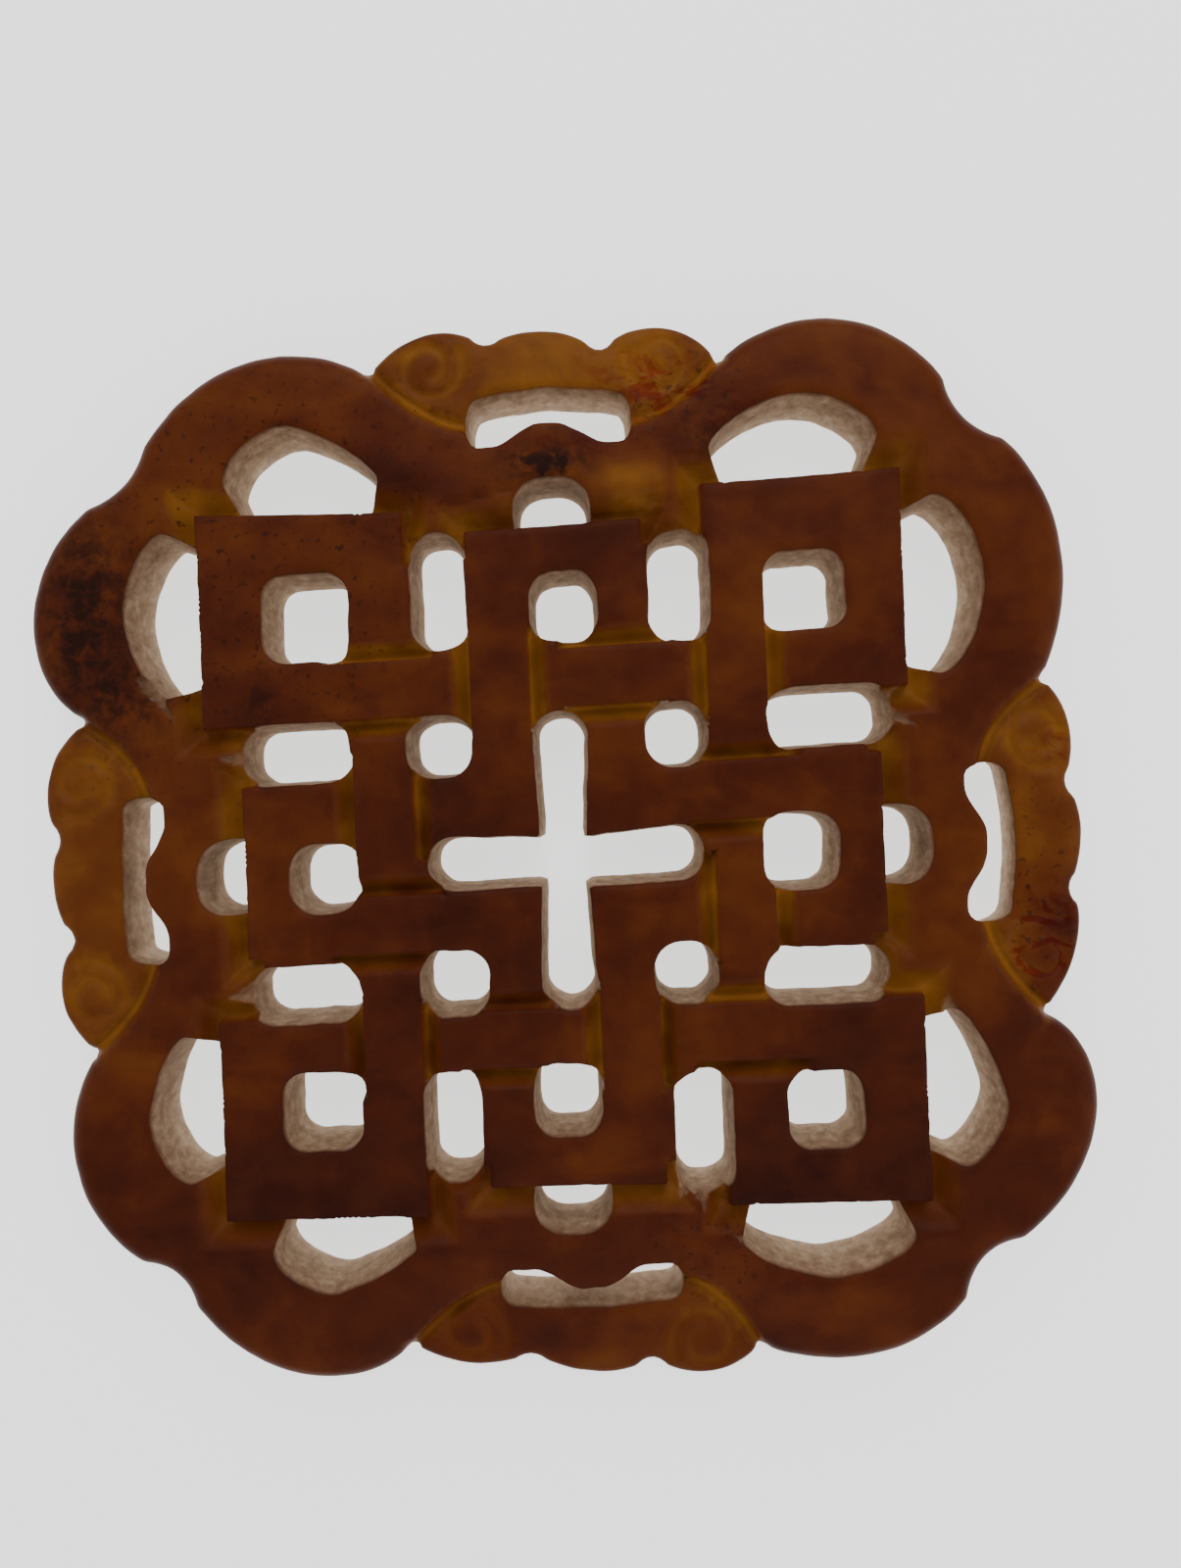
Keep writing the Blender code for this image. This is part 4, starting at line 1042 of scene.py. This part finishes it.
# Rust-red veins and dark stains: centre and reach.
RED_PLACES = (((5.4, 26.6), (3.4, 2.0)), ((27.9, -5.7), (1.8, 2.6)), ((0.8, 23.0), (2.6, 0.9)),
              ((8.5, 24.8), (3.0, 2.0)), ((28.2, 4.5), (1.2, 1.6)))
RED_CURL = ((28.0, -5.9), (2.6, 3.2))
DARK_PLACES = (((-0.2, 21.7), (1.8, 0.8)), ((-0.2, 21.9), (2.4, 1.1)), ((-26.6, 16.4), (2.6, 3.6)),
               ((-27.0, 13.0), (2.2, 3.0)), ((-24.8, 9.6), (3.0, 2.4)), ((0.4, 24.3), (2.4, 0.5)),
               ((8.8, 23.4), (1.5, 1.6)), ((-16.9, 8.9), (0.9, 1.5)))
SPECK_PLACES = (((-24.0, 14.0), (7.0, 10.0)), ((-14.0, 22.0), (9.0, 7.0)), ((-14.0, 12.0), (5.0, 6.0)),
                ((9.0, 25.0), (6.0, 3.0)), ((6.0, -24.0), (7.0, 3.0)), ((27.0, -4.0), (3.0, 6.0)))


def colour_marks(places, marks):
    """Lightness, rust, stain and speck values of each point, from broad areas and noise; the lightness
    carries painted glow of light through the thinner cuts, clouds and rim.
    """
    flat = places[:, :2]
    wide, fine, streaky = LIGHT_SEEDS
    # The frame is a little lighter jade; the clouds are painted lighter as a glow of light through the
    # thinner jade of their lowered face.
    light = JADE_LIGHT + FRAME_LIGHT * marks["frame"] + PAINTED_CLOUD_GLOW * marks["cloud"]
    for centre, reach, amount in AREAS:
        light = light + amount * soft_patch(centre, reach, flat)
    light = light + 0.05 * layered_noise(flat, 6.0, wide) + 0.025 * layered_noise(flat, 1.4, fine)
    # Painted glow in the cuts, as if light shone through the thin jade there, bright enough to cancel the
    # cuts' own shade; streaky noise varies it.
    streaks = np.clip(0.75 + 0.4 * layered_noise(flat, 3.0, streaky), 0.0, 1.2)
    light = light + PAINTED_CUT_GLOW * np.sqrt(marks["thin"]) * streaks
    # Painted glow along the thin rim.
    light = light + PAINTED_RIM_GLOW * marks["edge"]
    rust = sum(soft_patch(centre, reach, flat) for centre, reach in RED_PLACES)
    rust = rust + RED_CURL_STRENGTH * marks["spiral"] * soft_patch(*RED_CURL, flat)
    stain = sum(soft_patch(centre, reach, flat) for centre, reach in DARK_PLACES)
    speck = sum(soft_patch(centre, reach, flat) for centre, reach in SPECK_PLACES)
    return {
        "light": np.clip(light, 0.0, 1.0),
        "rust": np.clip(rust, 0.0, 3.0),
        "stain": np.clip(stain, 0.0, 2.0),
        "speck": np.clip(speck, 0.0, 1.0),
        "raw": np.clip(np.maximum(CHIP_PALE * marks["raw"], marks["wall"]), 0.0, 1.0),
        "depth": marks["depth"],
    }


def sawn_outlines():
    """The rim as drawn, and all outlines as a saw leaves them: the rim first, then the openings."""
    drawn_rim = resample(closed(rim_line(FACET)), FACET)[:-1]
    outlines = [wobble(drawn_rim, RIM_WOBBLE, RIM_SEED, RIM_SET_IN)]
    for index, hole in enumerate(openings()):
        even = resample(closed(hole), FACET)[:-1]
        outlines.append(wobble(even, HOLE_WOBBLE, HOLE_SEED + index))
    return drawn_rim, outlines


def rings_on_face(outlines, origins):
    """Where each outline's points stand among the face's points."""
    place_of = {source: index for index, sources in enumerate(origins) for source in sources}
    rings, first = [], 0
    for outline in outlines:
        rings.append([place_of[first + index] for index in range(len(outline))])
        first += len(outline)
    return rings


def join_rings(upper, lower, outward):
    """Faces between a ring of a wall and the next one down."""
    faces = []
    for index, corner in enumerate(upper):
        after = (index + 1) % len(upper)
        quad = (corner, upper[after], lower[after], lower[index])
        faces.append(quad if outward else quad[::-1])
    return faces


def wall_marks(top_marks, share, depth):
    """What the jade's colour needs to know some share of the way down a wall, where the depth paints the
    wall paler towards the back as if lit from below; no depth on the rim.
    """
    fading = max(0.0, 1 - 3 * share)
    found = {name: mark * fading if name in ("thin", "raw") else mark for name, mark in top_marks.items()}
    if depth is not None:
        found["wall"] = np.ones_like(found["wall"])
        found["depth"] = np.full_like(found["depth"], depth)
    return found


def back_faces(rings, outlines):
    """Faces of the plain back, between the walls' lowest rings."""
    _, triangles, origins = triangulate(np.vstack(outlines), outlines)
    foot_of = [index for ring in rings for index in ring]
    faces = []
    for triangle in triangles:
        one, two, three = (foot_of[origins[index][0]] for index in triangle)
        faces.append((one, three, two))
    return faces


def clean_mesh(name, places, faces, marks):
    """A mesh in metres with the marks as its values, without loose points and facing outwards."""
    mesh = bpy.data.meshes.new(name)
    mesh.from_pydata((places * MM).tolist(), [], [tuple(int(index) for index in face) for face in faces])
    for mark_name, mark in marks.items():
        layer = mesh.attributes.new(mark_name, "FLOAT", "POINT")
        layer.data.foreach_set("value", np.asarray(mark, dtype=np.float32))
    cleaned = bmesh.new()
    cleaned.from_mesh(mesh)
    loose = [vert for vert in cleaned.verts if not vert.link_faces]
    bmesh.ops.delete(cleaned, geom=loose, context="VERTS")
    bmesh.ops.recalc_face_normals(cleaned, faces=cleaned.faces[:])
    cleaned.to_mesh(mesh)
    cleaned.free()
    mesh.shade_smooth()
    return mesh


def plaque_object():
    """The whole carved plaque as one closed piece, and the place of the frame's origin in the plan."""
    drawn_rim, outlines = sawn_outlines()
    rim, holes = outlines[0], outlines[1:]
    first_cloud = len(outlines) - len(CLOUD_STRAYS)
    leans = [None] + [WALL_DRAFT] * (first_cloud - 1) + [WALL_DRAFT + strays[-1] for strays in CLOUD_STRAYS]
    edges, curl_lines = cloud_edges(), curls()
    flat, triangles, origins = triangulate(face_points(rim, holes, edges, curl_lines), outlines)
    height, marks = carve(flat, rim, holes, edges, curl_lines)
    verts = [np.column_stack((flat, height))]
    values = {name: [mark] for name, mark in marks.items()}
    faces = [tuple(triangle) for triangle in triangles]
    total = len(flat)
    feet, feet_outlines = [], []
    for number, ring in enumerate(rings_on_face(outlines, origins)):
        outward = (turning(outlines[number]) > 0) == (number == 0)
        top_marks = {name: mark[ring] for name, mark in marks.items()}
        for level, row in enumerate(wall_rows(flat[ring], height[ring], leans[number], WALL_SEED + number)):
            share = (level + 1) / WALL_ROWS
            # How far down a wall, for its painted backlight; the cloud slots' walls are painted paler still.
            depth = share * (1 + (number >= first_cloud)) if number else None
            for name, mark in wall_marks(top_marks, share, depth).items():
                values[name].append(mark)
            verts.append(row)
            lower = list(range(total, total + len(row)))
            total += len(row)
            faces += join_rings(ring, lower, outward)
            ring = lower
        feet.append(ring)
        feet_outlines.append(verts[-1][:, :2])
    faces += back_faces(feet, feet_outlines)
    places = np.vstack(verts)
    marks = {name: np.concatenate(parts) for name, parts in values.items()}
    centre = np.append((drawn_rim.min(axis=0) + drawn_rim.max(axis=0)) / 2, 0.0)
    mesh = clean_mesh("carved_plaque", places - centre, faces, colour_marks(places, marks))
    piece = bpy.data.objects.new("carved_plaque", mesh)
    bpy.context.scene.collection.objects.link(piece)
    return piece, centre


def attribute(nodes, name):
    """A node that reads one of the plaque's own values."""
    node = nodes.new("ShaderNodeAttribute")
    node.attribute_name = name
    return node.outputs["Fac"]


def maths(tree, operation, first, second):
    """One sum on two values or sockets."""
    node = tree.nodes.new("ShaderNodeMath")
    node.operation = operation
    for socket, value in zip(node.inputs, (first, second)):
        if isinstance(value, (int, float)):
            socket.default_value = value
        else:
            tree.links.new(value, socket)
    return node.outputs[0]


def grain(tree, coords, scale, detail, roughness=0.5, stretch=(1.0, 1.0, 1.0), distortion=0.0):
    """Noise on the plaque's own coordinates."""
    mapping = tree.nodes.new("ShaderNodeMapping")
    mapping.inputs["Scale"].default_value = stretch
    tree.links.new(coords, mapping.inputs["Vector"])
    node = tree.nodes.new("ShaderNodeTexNoise")
    node.inputs["Scale"].default_value = scale
    node.inputs["Detail"].default_value = detail
    node.inputs["Roughness"].default_value = roughness
    node.inputs["Distortion"].default_value = distortion
    tree.links.new(mapping.outputs[0], node.inputs["Vector"])
    return node.outputs["Fac"]


def limits(tree, value, low, high, to_low=0.0, to_high=1.0):
    """A value stretched from one range to another, and kept within it."""
    node = tree.nodes.new("ShaderNodeMapRange")
    for name, number in zip(("From Min", "From Max", "To Min", "To Max"), (low, high, to_low, to_high)):
        node.inputs[name].default_value = number
    tree.links.new(value, node.inputs["Value"])
    return node.outputs[0]


def blend_colours(tree, share, first, second, way="MIX"):
    """A mix of two colours or colour sockets."""
    node = tree.nodes.new("ShaderNodeMix")
    node.data_type = "RGBA"
    node.blend_type = way
    tree.links.new(share, node.inputs["Factor"])
    for socket, value in ((node.inputs[6], first), (node.inputs[7], second)):
        if isinstance(value, tuple):
            socket.default_value = value
        else:
            tree.links.new(value, socket)
    return node.outputs[2]


def ramp(tree, value, stops):
    """A colour for each value."""
    node = tree.nodes.new("ShaderNodeValToRGB")
    elements = node.color_ramp.elements
    while len(elements) < len(stops):
        elements.new(0.5)
    for element, (place, colour) in zip(elements, stops):
        element.position = place
        element.color = (*colour, 1.0)
    tree.links.new(value, node.inputs["Fac"])
    return node.outputs["Color"]


def jade():
    """Dark brown jade: painted lighter where it is thin, as if light shone through it, mottled, veined and
    specked, matte where sawn, its sawn walls painted paler towards the back as if lit from below.
    """
    material = bpy.data.materials.new("brown_jade")
    material.use_nodes = True
    tree = material.node_tree
    nodes = tree.nodes
    shader = nodes["Principled BSDF"]
    coords = nodes.new("ShaderNodeTexCoord").outputs["Object"]
    light = attribute(nodes, "light")
    mottle = grain(tree, coords, 420.0, 5.0, 0.6, distortion=0.6)
    cloudy = grain(tree, coords, 120.0, 3.0, 0.5, stretch=(1.0, 1.8, 1.0), distortion=1.0)
    light = maths(tree, "ADD", light, limits(tree, mottle, 0.3, 0.7, -0.04, 0.04))
    light = maths(tree, "ADD", light, limits(tree, cloudy, 0.3, 0.7, -0.06, 0.06))
    colour = ramp(tree, light, (
        (0.00, (0.016, 0.0034, 0.0020)),
        (0.17, (0.037, 0.0073, 0.0026)),
        (0.26, (0.053, 0.0120, 0.0030)),
        (0.36, (0.066, 0.0180, 0.0036)),
        (0.50, (0.104, 0.0370, 0.0055)),
        (0.75, (0.170, 0.0620, 0.0100)),
        (1.00, (0.250, 0.1050, 0.0200)),
    ))
    veins = grain(tree, coords, 420.0, 6.0, 0.6, stretch=(1.0, 1.6, 1.0), distortion=1.8)
    veins = maths(tree, "MULTIPLY", limits(tree, veins, 0.48, 0.60), attribute(nodes, "rust"))
    veins = maths(tree, "MULTIPLY", veins, 0.9)
    colour = blend_colours(tree, veins, colour, (0.80, 0.34, 0.45, 1.0), "MULTIPLY")
    stains = grain(tree, coords, 1000.0, 4.0, 0.6, distortion=0.6)
    stains = maths(tree, "MULTIPLY", limits(tree, stains, 0.38, 0.60), attribute(nodes, "stain"))
    colour = blend_colours(tree, maths(tree, "MULTIPLY", stains, 0.85), colour, (0.011, 0.0034, 0.0020, 1.0))
    specks = grain(tree, coords, 2200.0, 2.0, 0.5)
    specks = maths(tree, "MULTIPLY", limits(tree, specks, 0.61, 0.69), attribute(nodes, "speck"))
    colour = blend_colours(tree, maths(tree, "MULTIPLY", specks, 0.7), colour, (0.012, 0.0040, 0.0022, 1.0))
    grit = grain(tree, coords, 1500.0, 6.0, 0.7, stretch=(1.0, 1.0, 0.8))
    # The sawn walls' grey-tan in three tones, from the darkest under the face to the lightest at the back;
    # that they grow paler downwards is painted light from below.
    pale = ramp(tree, grit, (
        (0.25, (0.15, 0.090, 0.050)),
        (0.50, (0.26, 0.175, 0.108)),
        (0.75, (0.40, 0.295, 0.200)),
    ))
    least_backlit_wall = ramp(tree, grit, (
        (0.25, (0.08, 0.036, 0.018)),
        (0.50, (0.16, 0.092, 0.054)),
        (0.75, (0.26, 0.175, 0.115)),
    ))
    most_backlit_wall = ramp(tree, grit, (
        (0.25, (0.26, 0.175, 0.115)),
        (0.50, (0.45, 0.330, 0.235)),
        (0.75, (0.62, 0.500, 0.380)),
    ))
    depth = attribute(nodes, "depth")
    # Painted backlight: the deeper down a wall, the paler, and the cloud slots' walls paler still.
    sawn = blend_colours(tree, limits(tree, depth, 0.0, 0.7), least_backlit_wall, pale)
    sawn = blend_colours(tree, limits(tree, depth, 0.5, 1.2), sawn, most_backlit_wall)
    colour = blend_colours(tree, attribute(nodes, "raw"), colour, sawn)
    tree.links.new(colour, shader.inputs["Base Color"])
    polish = maths(tree, "ADD", limits(tree, mottle, 0.3, 0.7, 0.30, 0.42),
                   maths(tree, "MULTIPLY", attribute(nodes, "raw"), 0.4))
    tree.links.new(polish, shader.inputs["Roughness"])
    shader.inputs["IOR"].default_value = 1.15
    shader.inputs["Specular IOR Level"].default_value = 0.2
    shader.inputs["Subsurface Weight"].default_value = 0.15
    shader.inputs["Subsurface Radius"].default_value = (0.0016, 0.0006, 0.0002)
    fine = grain(tree, coords, 2600.0, 4.0, 0.6)
    sawing = grain(tree, coords, 1200.0, 4.0, 0.65, stretch=(1.0, 1.0, 1.4))
    rough = maths(tree, "MULTIPLY", sawing, maths(tree, "MULTIPLY", attribute(nodes, "raw"), 1.5))
    bump = nodes.new("ShaderNodeBump")
    bump.inputs["Strength"].default_value = 0.35
    bump.inputs["Distance"].default_value = 0.00005
    tree.links.new(maths(tree, "ADD", fine, rough), bump.inputs["Height"])
    tree.links.new(bump.outputs["Normal"], shader.inputs["Normal"])
    return material


def floor_material():
    """A plain pale surface with a faint tooth."""
    material = bpy.data.materials.new("pale_floor")
    material.use_nodes = True
    shader = material.node_tree.nodes["Principled BSDF"]
    shader.inputs["Base Color"].default_value = (0.36, 0.37, 0.37, 1.0)
    shader.inputs["Roughness"].default_value = 0.7
    shader.inputs["Specular IOR Level"].default_value = 0.1
    shader.inputs["Emission Color"].default_value = (1.0, 1.0, 0.99, 1.0)
    shader.inputs["Emission Strength"].default_value = 1.35
    return material


def floor():
    """A wide pale floor just under the plaque."""
    mesh = bpy.data.meshes.new("floor")
    ways = ((-1, -1), (1, -1), (1, 1), (-1, 1))
    corners = [(FLOOR_HALF * x, FLOOR_HALF * y, -FLOOR_DROP) for x, y in ways]
    mesh.from_pydata(corners, [], [(0, 1, 2, 3)])
    mesh.materials.append(floor_material())
    piece = bpy.data.objects.new("floor", mesh)
    bpy.context.scene.collection.objects.link(piece)


def lamp(name, place, size, power):
    """A soft square lamp that points at the plaque."""
    light = bpy.data.lights.new(name, "AREA")
    light.shape = "SQUARE"
    light.size = size
    light.energy = power
    piece = bpy.data.objects.new(name, light)
    piece.location = place
    piece.rotation_euler = (-Vector(place)).to_track_quat("-Z", "Y").to_euler()
    bpy.context.scene.collection.objects.link(piece)


def lights():
    """Soft studio light from the sides, and a dim even surround."""
    lamp("key", (0.04, 0.26, 0.29), 0.30, 1.2)
    lamp("right", (0.30, -0.06, 0.24), 0.28, 0.45)
    lamp("front", (0.0, -0.26, 0.28), 0.28, 0.40)
    lamp("left", (-0.26, 0.06, 0.26), 0.28, 0.30)
    world = bpy.data.worlds.new("studio")
    world.use_nodes = True
    background = world.node_tree.nodes["Background"]
    background.inputs["Color"].default_value = (1.0, 1.0, 1.0, 1.0)
    background.inputs["Strength"].default_value = 1.0
    bpy.context.scene.world = world


def camera(centre):
    """The picture's camera, straight above the plaque."""
    lens = bpy.data.cameras.new("camera")
    lens.lens = LENS
    lens.sensor_width = SENSOR
    lens.clip_start = 0.005
    piece = bpy.data.objects.new("camera", lens)
    piece.location = Vector([(place - middle) * MM for place, middle in zip(CAMERA_PLACE, centre)])
    piece.rotation_euler = (0.0, 0.0, math.radians(CAMERA_TURN))
    bpy.context.scene.collection.objects.link(piece)
    bpy.context.scene.camera = piece


plaque, plaque_centre = plaque_object()
plaque.data.materials.append(jade())
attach(plaque, "root")
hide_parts("jade_plaque")
floor()
lights()
camera(plaque_centre)
